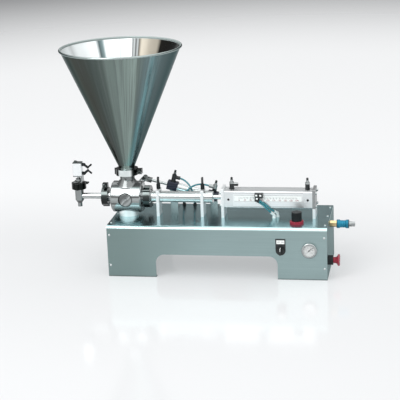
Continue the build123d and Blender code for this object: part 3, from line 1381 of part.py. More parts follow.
def actuator_bracket_x(front):
    middle = ACT_NOSE + ACT_CAP_LENGTH / 2 if front else ACT_END - ACT_CAP_LENGTH / 2
    return (PIN + ALONG * middle).X


def actuator_bracket_y():
    return LEVER_Y + ACT_CAP / 2


def actuator_bracket(front):
    """Angle bracket behind a cap: an upright against the cap's side and a foot on the deck."""
    x = actuator_bracket_x(front)
    middle = ACT_NOSE + ACT_CAP_LENGTH / 2 if front else ACT_END - ACT_CAP_LENGTH / 2
    top = (PIN + ALONG * middle).Z + ACT_BRACKET_LAP
    near = actuator_bracket_y()
    far = near + ACT_BRACKET_THICK
    wide = (x - ACT_BRACKET_WIDTH / 2, x + ACT_BRACKET_WIDTH / 2)
    bracket = block(wide, (near, far), (DECK, top))
    bracket += block(wide, (far, far + ACT_BRACKET_FOOT), (DECK, DECK + ACT_BRACKET_THICK))
    for seat, inward in bracket_screw_places():
        bracket -= screw_hole(seat, inward)
    return bracket


# Hoses: each starts at its port and ends in a fitting on the deck


def controller_port(name):
    """Bottom of the hose socket of a speed controller, and a point outside it."""
    frame, side = CONTROLLERS[name]
    inner = frame.from_local_coords(Vector(side * (CTRL_ARM_LENGTH - CTRL_SOCKET_DEPTH), 0, CTRL_ARM_HEIGHT))
    outer = frame.from_local_coords(Vector(side * (CTRL_ARM_LENGTH + CTRL_SOCKET_DEPTH), 0, CTRL_ARM_HEIGHT))
    return [inner, outer]


HOSES = {
    "actuator": (
        controller_port("actuator_front")
        + [(-126, 53, 284), (-111, 42, 267), (-104, 35, 246), (-104, 38, 226)]
        + [(-106, 54, 211), (-110, 76, 206), (-113, 94, 204.5), (-114, 108, 204)],
        controller_port("actuator_rear")
        + [(-79, 53, 280), (-101, 38, 279), (-121, 28, 267), (-136, 28, 245), (-144, 40, 223)]
        + [(-149, 66, 209), (-152, 90, 205), (-153, 108, 204)],
    ),
    "limit_valve": (
        [(139.4, -37, 248.1), (156.5, -37, 237.4), (170.5, -36.8, 224.5)]
        + [(181.5, -31.2, 212.5), (192.5, -19.5, 203)],
        [(137.5, -37, 241.3), (152.8, -37, 231.8), (164.5, -36.9, 219.5)]
        + [(173.5, -35.1, 209.5), (182, -30.5, 200.5)],
    ),
}


def hose_heading(route):
    return (Vector(route[-1]) - Vector(route[-2])).normalized()


def hose_knee(route):
    """Point past the end of a hose where its fitting turns down to the deck."""
    return Vector(route[-1]) + hose_heading(route) * FITTING_ARM


def hose(route):
    """Round hose along its route: straight runs joined by arcs as large as the runs allow."""
    points = [Vector(point) for point in route]
    radii = []
    for before, corner, after in zip(points, points[1:], points[2:]):
        turn = (corner - before).get_angle(after - corner)
        run = min((corner - before).length, (after - corner).length)
        radii.append(HOSE_ARC_SHARE * run / tan(radians(turn) / 2))
    path = FilletPolyline(*points, radius=radii)
    section = Plane(points[0], z_dir=points[1] - points[0]) * Circle(HOSE_R)
    tube = sweep(section, path)
    straight = pi * HOSE_R**2 * path.length
    print("hose radii", [round(radius, 1) for radius in radii])
    print("hose length", round(path.length, 1), "volume ratio", round(tube.volume / straight, 4))
    return tube


def hose_fitting(route):
    """Push-in elbow on the deck, and its nut under the deck."""
    end = Vector(route[-1])
    heading = hose_heading(route)
    knee = hose_knee(route)
    place = Vector(knee.X, knee.Y, DECK)
    body = hexagon(FITTING_HEX_R, place, Z, FITTING_HEX_H)
    body += bar(FITTING_R, place, Z, knee.Z - DECK) + Pos(*knee) * Sphere(FITTING_R)
    body += bar(FITTING_R, knee, -heading, FITTING_ARM + FITTING_SOCKET)
    body -= bar(HOSE_R + SLIP, end, -heading, FITTING_SOCKET)
    body += bar(FITTING_STUD_R, place, -Z, FITTING_STUD)
    under = place - Z * (SHEET + FITTING_NUT_H)
    nut = hexagon(FITTING_HEX_R, under, Z, FITTING_NUT_H)
    return [body, nut - bar(FITTING_STUD_R + SLIP, under, Z, FITTING_NUT_H)]


def main():
    os.makedirs("parts", exist_ok=True)
    save("cabinet_shell", cabinet_shell())
    save("left_end_panel", mirror(end_panel(), Plane.YZ))
    save("right_end_panel", right_end_panel())
    screws = [screw(*place) for place in panel_screw_places() + bracket_screw_places()]
    save("cabinet_screws", *screws, *[post_screw(place) for place in post_screw_places()])
    save("control_valves", *control_valves())
    save("selector_body", selector_plate(), selector_body())
    save("selector_knob", selector_knob())
    save("gauge_case", gauge_case())
    save("gauge_dial", gauge_dial())
    save("gauge_needle", gauge_needle())
    save("gauge_lens", gauge_lens())
    save("regulator_body", regulator_body())
    save("regulator_nut", regulator_nut())
    save("regulator_knob", regulator_knob())
    save("estop_base", estop_base())
    save("estop_plunger", estop_plunger())
    save("estop_mushroom", estop_mushroom())
    save("inlet_fitting", *inlet_fitting())
    save("inlet_valve_body", inlet_valve_body())
    save("inlet_sleeve", inlet_sleeve())
    clamps = {}
    gaskets = []
    for name, (frame, flange_r, neck_r, bore_r) in CLAMPS.items():
        clamps[name] = [frame * piece for piece in clamp_jaws(flange_r, neck_r) + [clamp_bolt(flange_r)]]
        gaskets.append(frame * gasket(flange_r, bore_r))
        save(f"{name}_wing_nut", frame * wing_nut(flange_r))
    save("hopper_clamp", *clamps.pop("hopper"))
    save("pipe_clamps", *[piece for pieces in clamps.values() for piece in pieces])
    save("clamp_gaskets", *gaskets)
    save("valve_pedestal", valve_pedestal())
    save("valve_body", valve_body())
    save("valve_spool", valve_spool(), *spool_retainer())
    save("valve_lever", *valve_lever())
    save("hopper", hopper())
    save("outlet_pipe", outlet_pipe())
    save("nozzle_body", nozzle_body())
    save("nozzle_plug", nozzle_plug(), *nozzle_coupling())
    save("nozzle_bracket", nozzle_bonnet(), nozzle_bracket())
    save("nozzle_cylinder", nozzle_cylinder(), nozzle_cylinder_cap())
    save("nozzle_elbows", *nozzle_elbows())
    save("material_cylinder", material_cylinder())
    save("cylinder_rear_cap", cylinder_rear_cap())
    save("pistons", *[piston(front, length, radius) for front, length, radius, _ in PISTONS], *piston_seals())
    save("piston_rod", piston_rod())
    cylinder_posts = (cylinder_post(POST_1, TUBE_R), cylinder_post(POST_2, REAR_CAP_R))
    save("posts", *cylinder_posts, drive_post(POST_3, ROD_R + POST_ROD_ROOM), drive_post(POST_4, 0))
    save("clamp_knob_1", clamp_knob(POST_1, TUBE_R))
    save("clamp_knob_2", clamp_knob(POST_2, REAR_CAP_R))
    save("drive_barrel", drive_barrel())
    save("drive_heads", drive_front_head(), drive_rear_head())
    save("drive_bolts", *drive_bolts())
    save("stroke_scale", stroke_scale())
    save("limit_valve", limit_valve())
    save("speed_controllers", *[frame * speed_controller(side) for frame, side in CONTROLLERS.values()])
    for name, (frame, _) in CONTROLLERS.items():
        save(f"{name}_speed_screw", frame * speed_screw())
    save("actuator_body", *actuator_body())
    save("actuator_rod", actuator_rod(), *actuator_fork())
    save("actuator_brackets", actuator_bracket(True), actuator_bracket(False))
    routes = [route for group in HOSES.values() for route in group]
    save("hoses", *[hose(route) for route in routes])
    save("hose_fittings", *[piece for route in routes for piece in hose_fitting(route)])


main()
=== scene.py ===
"""Studio scene of a bench-top piston filling machine, laid out as a Blender add-on."""

import math

import bpy
from bpy.props import FloatProperty, FloatVectorProperty, IntProperty, PointerProperty
from bpy.types import Operator, Panel, PropertyGroup
from mathutils import Matrix, Vector


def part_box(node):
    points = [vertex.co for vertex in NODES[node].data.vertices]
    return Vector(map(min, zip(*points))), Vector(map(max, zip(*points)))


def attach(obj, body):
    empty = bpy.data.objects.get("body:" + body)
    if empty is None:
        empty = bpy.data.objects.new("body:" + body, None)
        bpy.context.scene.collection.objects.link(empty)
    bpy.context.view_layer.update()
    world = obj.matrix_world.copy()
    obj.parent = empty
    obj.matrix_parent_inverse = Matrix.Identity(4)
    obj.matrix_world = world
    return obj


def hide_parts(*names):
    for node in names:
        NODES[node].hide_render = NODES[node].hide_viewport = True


bl_info = {
    "name": "Piston Filling Machine",
    "version": (1, 0, 0),
    "blender": (4, 5, 0),
    "location": "View3D > Sidebar > Filler",
    "description": "Dresses the machine's pieces and sets up its studio",
    "category": "Object",
}

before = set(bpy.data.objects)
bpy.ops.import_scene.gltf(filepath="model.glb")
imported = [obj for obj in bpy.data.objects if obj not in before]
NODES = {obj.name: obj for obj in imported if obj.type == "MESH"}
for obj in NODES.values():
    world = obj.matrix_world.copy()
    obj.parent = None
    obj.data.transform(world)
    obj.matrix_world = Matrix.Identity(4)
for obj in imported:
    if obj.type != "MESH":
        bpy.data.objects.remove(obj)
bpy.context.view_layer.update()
MACHINE = "machine"


# Sizes and colours


def colour(name, description, value):
    return FloatVectorProperty(
        name=name, description=description, default=value, size=3, subtype="COLOR", min=0.0, max=1.0
    )


def number(name, description, value, **kind):
    return FloatProperty(name=name, description=description, default=value, **kind)


def length(name, description, value):
    return number(name, description, value, subtype="DISTANCE", unit="LENGTH")


def angle(name, description, degrees):
    return number(name, description, math.radians(degrees), subtype="ANGLE", unit="ROTATION")


class FillerCamera(PropertyGroup):
    """Place and lens of the camera"""

    location: FloatVectorProperty(
        name="Location", description="Where the camera stands", default=(0.8082, -4.6046, 1.6002), size=3,
        subtype="TRANSLATION", unit="LENGTH",
    )
    yaw: angle("Yaw", "Turn to the left of straight ahead", 10.39)
    pitch: angle("Pitch", "Tilt below level", 16.24)
    roll: angle("Roll", "Turn about the line of sight", -2.32)
    lens: number("Lens", "Focal length on a 36 mm frame", 125.57, subtype="DISTANCE_CAMERA")


class FillerStudio(PropertyGroup):
    """Floor and light of the studio"""

    floor_colour: colour("Floor", "Colour of the pale floor around the machine", (0.37, 0.375, 0.38))
    far_colour: colour("Far floor", "Colour to which the floor fades far away", (0.065, 0.067, 0.070))
    floor_size: length("Floor size", "Side of the floor", 60.0)
    floor_glow: number("Floor glow", "Light that the floor itself gives off", 1.08)
    horizon: number("Horizon", "Brightness of the surroundings behind the machine", 0.20)
    front: number("Front", "Brightness of the surroundings before the machine", 0.95)
    zenith: number("Zenith", "Brightness of the soft light overhead", 1.7)
    key_power: number("Key", "Power of the large soft lamp", 60.0, subtype="POWER")


class FillerFinishes(PropertyGroup):
    """Colours of the finishes"""

    sheet: colour("Cabinet sheet", "Brushed sheet of the cabinet", (0.285, 0.375, 0.378))
    deck: colour("Deck", "Polished top of the cabinet", (0.445, 0.650, 0.680))
    polished: colour("Polished steel", "Valve, pipes and cylinder", (0.62, 0.66, 0.66))
    cone: colour("Hopper sheet", "Rolled sheet of the hopper", (0.27, 0.31, 0.305))
    alloy: colour("Alloy", "Drive cylinder and posts", (0.86, 0.89, 0.90))
    clamp: colour("Clamp steel", "Pipe clamps and their nuts", (0.13, 0.15, 0.147))
    brass: colour("Brass", "Air inlet fitting", (0.80, 0.62, 0.34))
    black: colour("Black plastic", "Knobs, controllers and switch", (0.006, 0.009, 0.010))
    white: colour("White plastic", "Hose fittings on the deck", (0.72, 0.78, 0.78))
    red: colour("Red plastic", "Emergency stop and regulator nut", (0.225, 0.018, 0.034))
    teal: colour("Teal sleeve", "Sleeve of the slide valve", (0.010, 0.17, 0.27))
    hose: colour("Hose", "Air hoses", (0.006, 0.17, 0.21))
    card: colour("Card", "Dial, scale strip and label", (0.80, 0.83, 0.82))
    ink: colour("Ink", "Printed lines and figures", (0.02, 0.022, 0.024))
    navy: colour("Navy", "Caps of the valve actuator", (0.012, 0.018, 0.035))


class FillerMarks(PropertyGroup):
    """Printed marks, hoses and sheet sizes that the finishes follow"""

    dial_figure: length("Dial figure", "Height of the figures on the dial", 0.0052)
    scale_figure: length("Scale figure", "Height of the figures on the stroke scale", 0.0058)
    scale_step: length("Scale step", "Distance between two ticks of the stroke scale", 0.005)
    scale_figures: IntProperty(
        name="Scale figures", description="Number of figures on the stroke scale", default=11
    )
    switch_word: length("Switch word", "Height of the words on the switch label", 0.0042)
    hose_bore: length("Hose", "Outer diameter of the air hoses", 0.006)
    bend: length("Bend", "Outer radius of the cabinet's bends", 0.012)
    legend: length("Legend plate", "Thickness of the plate behind the switch", 0.0016)
    cone_rise: length("Cone height", "Height of the hopper's cone", 0.425)
    cone_foot: length("Cone foot", "Radius of the cone at its foot", 0.0255)
    cone_rim: length("Cone rim", "Radius of the cone at its rim", 0.208)
    cone_wall: length("Cone wall", "Thickness of the cone's sheet", 0.0015)
    # Turns the hopper's painted reflection streaks about its axis
    facing: angle("Hopper turn", "Turn of the hopper's streaks about its axis", -13.4)


# Materials

MIDDLE = 0.5  # mean of a noise, and of a range from 0 to 1
LINE_DEPTH = 0.0004  # of brushed and drawn lines
GRAIN_DEPTH = 0.0003  # of moulded plastic
WAVE_DEPTH = 0.004  # of polished steel
STEEL_SHADE_SLOPES = (-0.6, 0.5)  # slopes, from down to up, between which painted shade on steel gives way to its lit tone
MIRROR_METAL = 0.72  # share of steel that mirrors the room; the rest is soft
# Painted reflection on polished steel, as tones from surfaces that face down to surfaces that face up: place
# and tone
REFLECTION_TONES = (
    (0.00, 0.10), (0.07, 0.14), (0.11, 0.50), (0.33, 0.62), (0.36, 0.16), (0.39, 0.16), (0.43, 0.50),
    (0.57, 0.55), (0.60, 0.14), (0.62, 0.14), (0.66, 1.05), (0.90, 1.10), (0.94, 0.46), (1.00, 0.36),
)


def joined(operation, swapped=False):
    """Method of a signal that joins it and another value by a maths node"""

    def method(self, other):
        first, second = (other, self) if swapped else (self, other)
        return self.maths(operation, first, second)

    return method


class Signal:
    """A value in a finish's node tree that takes part in arithmetic"""

    def __init__(self, finish, socket):
        self.finish = finish
        self.socket = socket

    def maths(self, operation, *values):
        inputs = dict(enumerate(values))
        return self.finish.node("ShaderNodeMath", {"operation": operation}, inputs)

    __add__ = joined("ADD")
    __radd__ = joined("ADD", swapped=True)
    __sub__ = joined("SUBTRACT")
    __rsub__ = joined("SUBTRACT", swapped=True)
    __mul__ = joined("MULTIPLY")
    __rmul__ = joined("MULTIPLY", swapped=True)
    __truediv__ = joined("DIVIDE")
    __rtruediv__ = joined("DIVIDE", swapped=True)
    __lt__ = joined("LESS_THAN")
    __gt__ = joined("GREATER_THAN")
    either = joined("MAXIMUM")

    def __abs__(self):
        return self.maths("ABSOLUTE", self)

    def root(self):
        return self.maths("SQRT", self)

    def off_step(self):
        """Distance from the nearest whole number"""
        return abs(self.maths("FRACT", self + MIDDLE) - MIDDLE)

    def sway(self, reach):
        """The value swung about zero"""
        return (self - MIDDLE) * reach

    def part(self, name):
        """Another output of the node that this value comes from"""
        return Signal(self.finish, self.socket.node.outputs[name])


class Finish:
    """A node-based material under construction"""

    def __init__(self, name, owner=None):
        self.owner = owner or bpy.data.materials.new(name)
        self.owner.use_nodes = True
        self.tree = self.owner.node_tree
        self.tree.nodes.clear()

    def node(self, kind, settings=None, inputs=None, output=0):
        """Add a node, set it up, feed its sockets and hand back one of its outputs"""
        made = self.tree.nodes.new(kind)
        for key, value in (settings or {}).items():
            if key == "stops":
                stops = made.color_ramp.elements
                for count, (position, tone) in enumerate(value):
                    stop = stops[count] if count < 2 else stops.new(position)
                    stop.position = position
                    stop.color = (*tone, 1.0)
            else:
                setattr(made, key, value)
        for key, value in (inputs or {}).items():
            if isinstance(value, Signal):
                self.tree.links.new(value.socket, made.inputs[key])
            else:
                made.inputs[key].default_value = value
        return Signal(self, made.outputs[output]) if made.outputs else None

    def place(self, centre=(0, 0, 0), turn=(0, 0, 0), scale=(1, 1, 1)):
        """Object coordinates, counted from a centre, turned and then stretched"""
        coords = self.node("ShaderNodeTexCoord", output="Object")
        moved = self.node("ShaderNodeVectorMath", {"operation": "SUBTRACT"}, {0: coords, 1: tuple(centre)})
        return self.node(
            "ShaderNodeMapping", {"vector_type": "POINT"}, {"Vector": moved, "Rotation": turn, "Scale": scale}
        )

    def split(self, vector):
        """A vector as three values"""
        across = self.node("ShaderNodeSeparateXYZ", inputs={"Vector": vector})
        return across, across.part("Y"), across.part("Z")

    def axes(self, centre=(0, 0, 0), turn=(0, 0, 0)):
        """Object coordinates as three values, counted from a centre and turned"""
        return self.split(self.place(centre, turn))

    def noise(self, scale, detail, rough=0.5, vector=None):
        """Noise over the piece, or along another vector"""
        inputs = {"Vector": vector or self.place(), "Scale": scale, "Detail": detail, "Roughness": rough}
        return self.node("ShaderNodeTexNoise", inputs=inputs)

    def lines(self, scale, detail, rough=0.5):
        """Noise drawn out along the axis of the smallest scale"""
        return self.noise(1.0, detail, rough, self.place(scale=scale))

    def blend(self, factor, first, second):
        """Mix of two colours"""
        inputs = {0: factor}
        for key, value in ((6, first), (7, second)):
            inputs[key] = value if isinstance(value, Signal) else (*value, 1.0)
        return self.node("ShaderNodeMix", {"data_type": "RGBA"}, inputs, output=2)

    def vary(self, factor, base, dark, light):
        """A colour between two shades of itself"""
        return self.blend(factor, shade(base, dark), shade(base, light))

    def tones(self, value, base, stops):
        """Shades of one colour along a value"""
        return self.ramp(value, [(at, shade(base, tone)) for at, tone in stops])

    def ease(self, value, start, end):
        """Smooth step of a value, from 0 at start to 1 at end"""
        limits = {"Value": value, "From Min": start, "From Max": end}
        return self.node("ShaderNodeMapRange", {"interpolation_type": "SMOOTHSTEP"}, limits)

    def level(self):
        """1 where the surface faces up, -1 where it faces down"""
        return self.split(self.node("ShaderNodeTexCoord", output="Normal"))[2]

    def bands(self, base, drift):
        """Painted reflection: tones of polished steel by the slope of its surface, as if it mirrored the room
        """
        slope = self.level() * MIDDLE + MIDDLE + drift.sway(0.04)
        return self.tones(slope, base, REFLECTION_TONES)

    def ramp(self, value, stops):
        return self.node("ShaderNodeValToRGB", {"stops": stops}, {"Fac": value})

    def bump(self, height, strength, distance=0.001):
        inputs = {"Height": height, "Strength": strength, "Distance": distance}
        return self.node("ShaderNodeBump", inputs=inputs)

    def polish(self):
        """Slow waves of polished steel, and how they and fine scratches change its gloss"""
        waves = self.noise(22.0, 1.0)
        scratches = self.lines((40, 900, 900), 4.0, 0.7)
        return waves, scratches.sway(0.12) + waves.sway(0.06)

    def surface(self, **sockets):
        """Close the material with its shader"""
        inputs = {}
        for key, value in sockets.items():
            name = key.replace("_", " ").title().replace("Ior", "IOR")
            inputs[name] = (*value, 1.0) if isinstance(value, tuple) else value
        shader = self.node("ShaderNodeBsdfPrincipled", inputs=inputs)
        self.node("ShaderNodeOutputMaterial", inputs={"Surface": shader})
        return self.owner

    def coat(self, name, **sockets):
        """Close the material and give it to a node of the machine"""
        dress(self.surface(**sockets), name)


def tinted(base, factors):
    """A colour with each channel scaled on its own"""
    return tuple(min(1.0, channel * factor) for channel, factor in zip(base, factors))


def shade(base, factor):
    """A lighter or darker version of a colour"""
    return tuple(min(1.0, channel * factor) for channel in base)


def rolled_sheet(name, base, grain, roughness, rim):
    """Satin sheet, brushed along its length, with faint clouds from handling"""
    finish = Finish(name)
    streaks = finish.lines(grain, 3.0, 0.6)
    clouds = finish.noise(4.0, 3.0)
    mixed = streaks * 0.5 + clouds * 0.5
    tint = finish.vary(mixed, base, 0.80, 1.22)
    return finish.surface(
        base_color=tint,
        metallic=1.0,
        specular_tint=rim,
        roughness=roughness + streaks.sway(0.22) + clouds.sway(0.10),
        normal=finish.bump(streaks, 0.06, LINE_DEPTH),
    )


def polished_steel(name, base, roughness=0.14, under=0.45):
    """Polished steel with fine scratches and slow waves, with painted shade on faces that look down"""
    finish = Finish(name)
    waves, gloss = finish.polish()
    bright = finish.vary(waves, base, 0.86, 1.12)
    # painted shade: faces that look down take the darker tone set by under
    tint = finish.blend(finish.ease(finish.level(), *STEEL_SHADE_SLOPES), shade(base, under), bright)
    return finish.surface(
        base_color=tint,
        metallic=1.0,
        roughness=roughness + gloss,
        normal=finish.bump(waves, 0.04, WAVE_DEPTH),
    )


def mirror_steel(name, base):
    """Steel polished to a mirror, with fine scratches and a painted reflection that follows its slope"""
    finish = Finish(name)
    waves, gloss = finish.polish()
    return finish.surface(
        base_color=finish.bands(base, waves),
        metallic=MIRROR_METAL,
        roughness=0.12 + gloss,
        normal=finish.bump(waves, 0.02, WAVE_DEPTH),
    )


def extruded_alloy(name, base, grain=(8, 600, 600), roughness=0.38, metal=0.85):
    """Anodised alloy with faint draw lines"""
    finish = Finish(name)
    lines = finish.lines(grain, 3.0, 0.6)
    clouds = finish.noise(9.0, 2.0)
    tint = finish.vary(lines * 0.6 + clouds * 0.4, base, 0.90, 1.06)
    return finish.surface(
        base_color=tint,
        metallic=metal,
        roughness=roughness + lines.sway(0.16),
        normal=finish.bump(lines, 0.05, LINE_DEPTH),
    )


def moulded(name, base, roughness=0.45):
    """Moulded plastic with a fine grain and slightly worn patches"""
    finish = Finish(name)
    texture = finish.noise(900.0, 2.0)
    wear = finish.noise(60.0, 3.0)
    tint = finish.vary(wear, base, 1.0, 1.35)
    return finish.surface(
        base_color=tint,
        roughness=roughness + wear.sway(0.20),
        specular_ior_level=0.25,
        normal=finish.bump(texture, 0.12, GRAIN_DEPTH),
    )


def midway(low, high, depth=0.0):
    """Middle of a box as seen from the front, at a given depth"""
    return Vector(((low.x + high.x) / 2, depth, (low.z + high.z) / 2))


def dress(material, *names):
    """Give a finish to nodes of the machine"""
    for name in names:
        slots = NODES[name].data.materials
        slots.clear()
        slots.append(material)


# Modelling

TYPE_SIZE = 1.4  # size of the type over the height of a figure
TYPE_DEPTH = 0.00004


def clear_selection():
    bpy.ops.object.select_all(action="DESELECT")


def settle(name, body, material):
    """Name the active piece, put its place into its mesh and let it ride on a body"""
    piece = bpy.context.object
    bpy.ops.object.transform_apply(location=True, rotation=True, scale=True)
    piece.name = name
    piece.data.name = name
    piece.data.materials.clear()
    piece.data.materials.append(material)
    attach(piece, body)


def lettering(name, words, height, body, material):
    """Flat raised figures that face the front, as one piece; words are pairs of text and middle"""
    clear_selection()
    made = []
    for text, middle in words:
        bpy.ops.object.text_add(location=middle, rotation=(math.pi / 2, 0, 0))
        figure = bpy.context.object
        figure.data.body = text
        figure.data.size = height * TYPE_SIZE
        figure.data.align_x = "CENTER"
        figure.data.align_y = "CENTER"
        figure.data.extrude = TYPE_DEPTH
        bpy.ops.object.convert(target="MESH")
        made.append(bpy.context.object)
    for figure in made:
        figure.select_set(True)
    bpy.ops.object.join()
    settle(name, body, material)


# Stage

FLOOR_CENTRE = (0.0, 1.5, 0.0)
FLOOR_FADE = (2.4, 7.0)  # distances from its centre between which the floor darkens
FLOOR_BEHIND = (-1.4, -0.4)  # depths from its centre between which its painted glow turns lighter behind the machine
FLOOR_GLOW_LIFT = 0.16
WHITE = (1.0, 1.0, 1.0)
SKY_FRONT = (0.2, -0.6)  # directions between which the surroundings get brighter
SKY_RIGHT = (0.2, 0.8)
SKY_ABOVE = (0.35, 0.80)
SKY_RIGHT_GAIN = 0.5
LAMP_PLACE = (-1.6, -2.4, 2.8)
LAMP_AIM = (-0.05, 0.0, 0.3)
LAMP_SIZE = 2.2
FILM_WIDTH = 36.0
VIEW_DEPTH = 200.0


def lay_floor(studio):
    """Pale floor with a soft gloss and a painted glow, lighter behind the machine, that fades to grey far
    away
    """
    clear_selection()
    bpy.ops.mesh.primitive_plane_add(size=studio.floor_size)
    floor = bpy.context.object
    floor.name = "floor"
    finish = Finish("studio floor")
    x, y, _ = finish.axes(FLOOR_CENTRE)
    fade = finish.ease((x * x + y * y).root(), *FLOOR_FADE)
    clouds = finish.noise(0.4, 2.0)
    tint = finish.blend(fade, studio.floor_colour, studio.far_colour)
    # painted light: the floor glows lighter behind the machine
    behind = finish.ease(y, *FLOOR_BEHIND) * (1.0 - fade)
    floor.data.materials.append(
        finish.surface(
            base_color=tint,
            roughness=0.08 + clouds * 0.06,
            specular_ior_level=0.9,
            emission_color=finish.blend(behind * FLOOR_GLOW_LIFT, tint, WHITE),
            emission_strength=studio.floor_glow,
        )
    )


def light_studio(studio):
    """Soft light from above, from the front and most from the right, and one large lamp"""
    world = bpy.data.worlds.new("studio")
    bpy.context.scene.world = world
    sky = Finish("studio", world)
    x, y, z = sky.split(sky.node("ShaderNodeTexCoord", output="Generated"))
    level = studio.horizon + sky.ease(y, *SKY_FRONT) * (studio.front - studio.horizon)
    level = level * (1.0 + sky.ease(x, *SKY_RIGHT) * SKY_RIGHT_GAIN)
    level = level + (studio.zenith - level) * sky.ease(z, *SKY_ABOVE)
    light = sky.node("ShaderNodeBackground", inputs={"Color": level})
    sky.node("ShaderNodeOutputWorld", inputs={"Surface": light})
    clear_selection()
    bpy.ops.object.light_add(type="AREA", location=LAMP_PLACE)
    lamp = bpy.context.object
    lamp.name = "key_lamp"
    lamp.data.size = LAMP_SIZE
    lamp.data.energy = studio.key_power
    aim = Vector(LAMP_AIM) - lamp.location
    lamp.rotation_euler = aim.to_track_quat("-Z", "Y").to_euler()


def place_camera(settings):
    """Camera turned by its yaw and pitch, then rolled about the line of sight"""
    yaw, pitch, roll = settings.yaw, settings.pitch, settings.roll
    level = math.cos(pitch)
    ahead = Vector((-math.sin(yaw) * level, math.cos(yaw) * level, -math.sin(pitch)))
    side = ahead.cross(Vector((0, 0, 1))).normalized()
    above = side.cross(ahead)
    right = side * math.cos(roll) + above * math.sin(roll)
    up = above * math.cos(roll) - side * math.sin(roll)
    camera = bpy.data.objects.new("camera", bpy.data.cameras.new("camera"))
    bpy.context.collection.objects.link(camera)
    camera.data.lens = settings.lens
    camera.data.sensor_width = FILM_WIDTH
    camera.data.clip_end = VIEW_DEPTH
    turned = Matrix((right, up, -ahead)).transposed().to_4x4()
    camera.matrix_world = Matrix.Translation(settings.location) @ turned
    bpy.context.scene.camera = camera


class FILLER_OT_stage(Operator):
    """Place the camera, lay the floor and light the studio"""

    bl_idname = "filler.stage"
    bl_label = "Stage"

    def execute(self, context):
        place_camera(context.scene.filler_camera)
        lay_floor(context.scene.filler_studio)
        light_studio(context.scene.filler_studio)
        context.scene.view_settings.view_transform = "Standard"
        return {"FINISHED"}


# Hoses

HOSE_ROUNDING = 6  # of a hose's section
HOSE_STEPS = 12  # between two points of a route
HOSE_ORDER = 3
HOSE_NODE = "hoses"  # solids for which the hoses stand
# Each hose with its length and the points of its route
HOSE_ROUTES = {
    "actuator_front_hose": (
        0.1835,
        [(-0.1228, 0.06, 0.2998), (-0.1073, 0.06, 0.2959), (-0.0878, 0.053, 0.284), (-0.0728, 0.042, 0.267),
         (-0.0658, 0.035, 0.246), (-0.0658, 0.038, 0.226), (-0.0678, 0.054, 0.211), (-0.0718, 0.076, 0.206),
         (-0.0748, 0.094, 0.2045), (-0.0758, 0.108, 0.204)],
    ),
    "actuator_rear_hose": (
        0.2129,
        [(-0.0049, 0.06, 0.2702), (-0.0204, 0.06, 0.2741), (-0.0408, 0.053, 0.28), (-0.0628, 0.038, 0.279),
         (-0.0828, 0.028, 0.267), (-0.0978, 0.028, 0.245), (-0.1058, 0.04, 0.223), (-0.1108, 0.066, 0.209),
         (-0.1138, 0.09, 0.205), (-0.1148, 0.108, 0.204)],
    ),
    "limit_valve_upper_hose": (
        0.0747,
        [(0.1776, -0.037, 0.2481), (0.1947, -0.037, 0.2374), (0.2087, -0.0368, 0.2245),
         (0.2197, -0.0312, 0.2125), (0.2307, -0.0195, 0.203)],
    ),
    "limit_valve_lower_hose": (
        0.0616,
        [(0.1757, -0.037, 0.2413), (0.191, -0.037, 0.2318), (0.2027, -0.0369, 0.2195),
         (0.2117, -0.0351, 0.2095), (0.2202, -0.0305, 0.2005)],
    ),
}


class FILLER_OT_hoses(Operator):
    """Run the air hoses between their fittings"""

    bl_idname = "filler.hoses"
    bl_label = "Hoses"

    def execute(self, context):
        finish = Finish("hose polyurethane")
        shine = finish.noise(70.0, 2.0)
        base = context.scene.filler_finishes.hose
        material = finish.surface(
            base_color=finish.vary(shine, base, 0.75, 1.5),
            roughness=0.22 + shine.sway(0.12),
            transmission_weight=0.15,
            coat_weight=0.3,
            normal=finish.bump(shine, 0.03),
        )
        bore = context.scene.filler_marks.hose_bore
        for name, (run, points) in HOSE_ROUTES.items():
            data = bpy.data.curves.new(name, "CURVE")
            data.dimensions = "3D"
            data.bevel_depth = bore / 2
            data.bevel_resolution = HOSE_ROUNDING
            data.resolution_u = HOSE_STEPS
            data.use_fill_caps = True
            line = data.splines.new("NURBS")
            line.points.add(len(points) - 1)
            for control, place in zip(line.points, points):
                control.co = (*place, 1.0)
            line.order_u = HOSE_ORDER
            line.use_endpoint_u = True
            data.materials.append(material)
            hose = bpy.data.objects.new(name, data)
            context.collection.objects.link(hose)
            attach(hose, MACHINE)
            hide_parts(HOSE_NODE)
        return {"FINISHED"}


# Cabinet


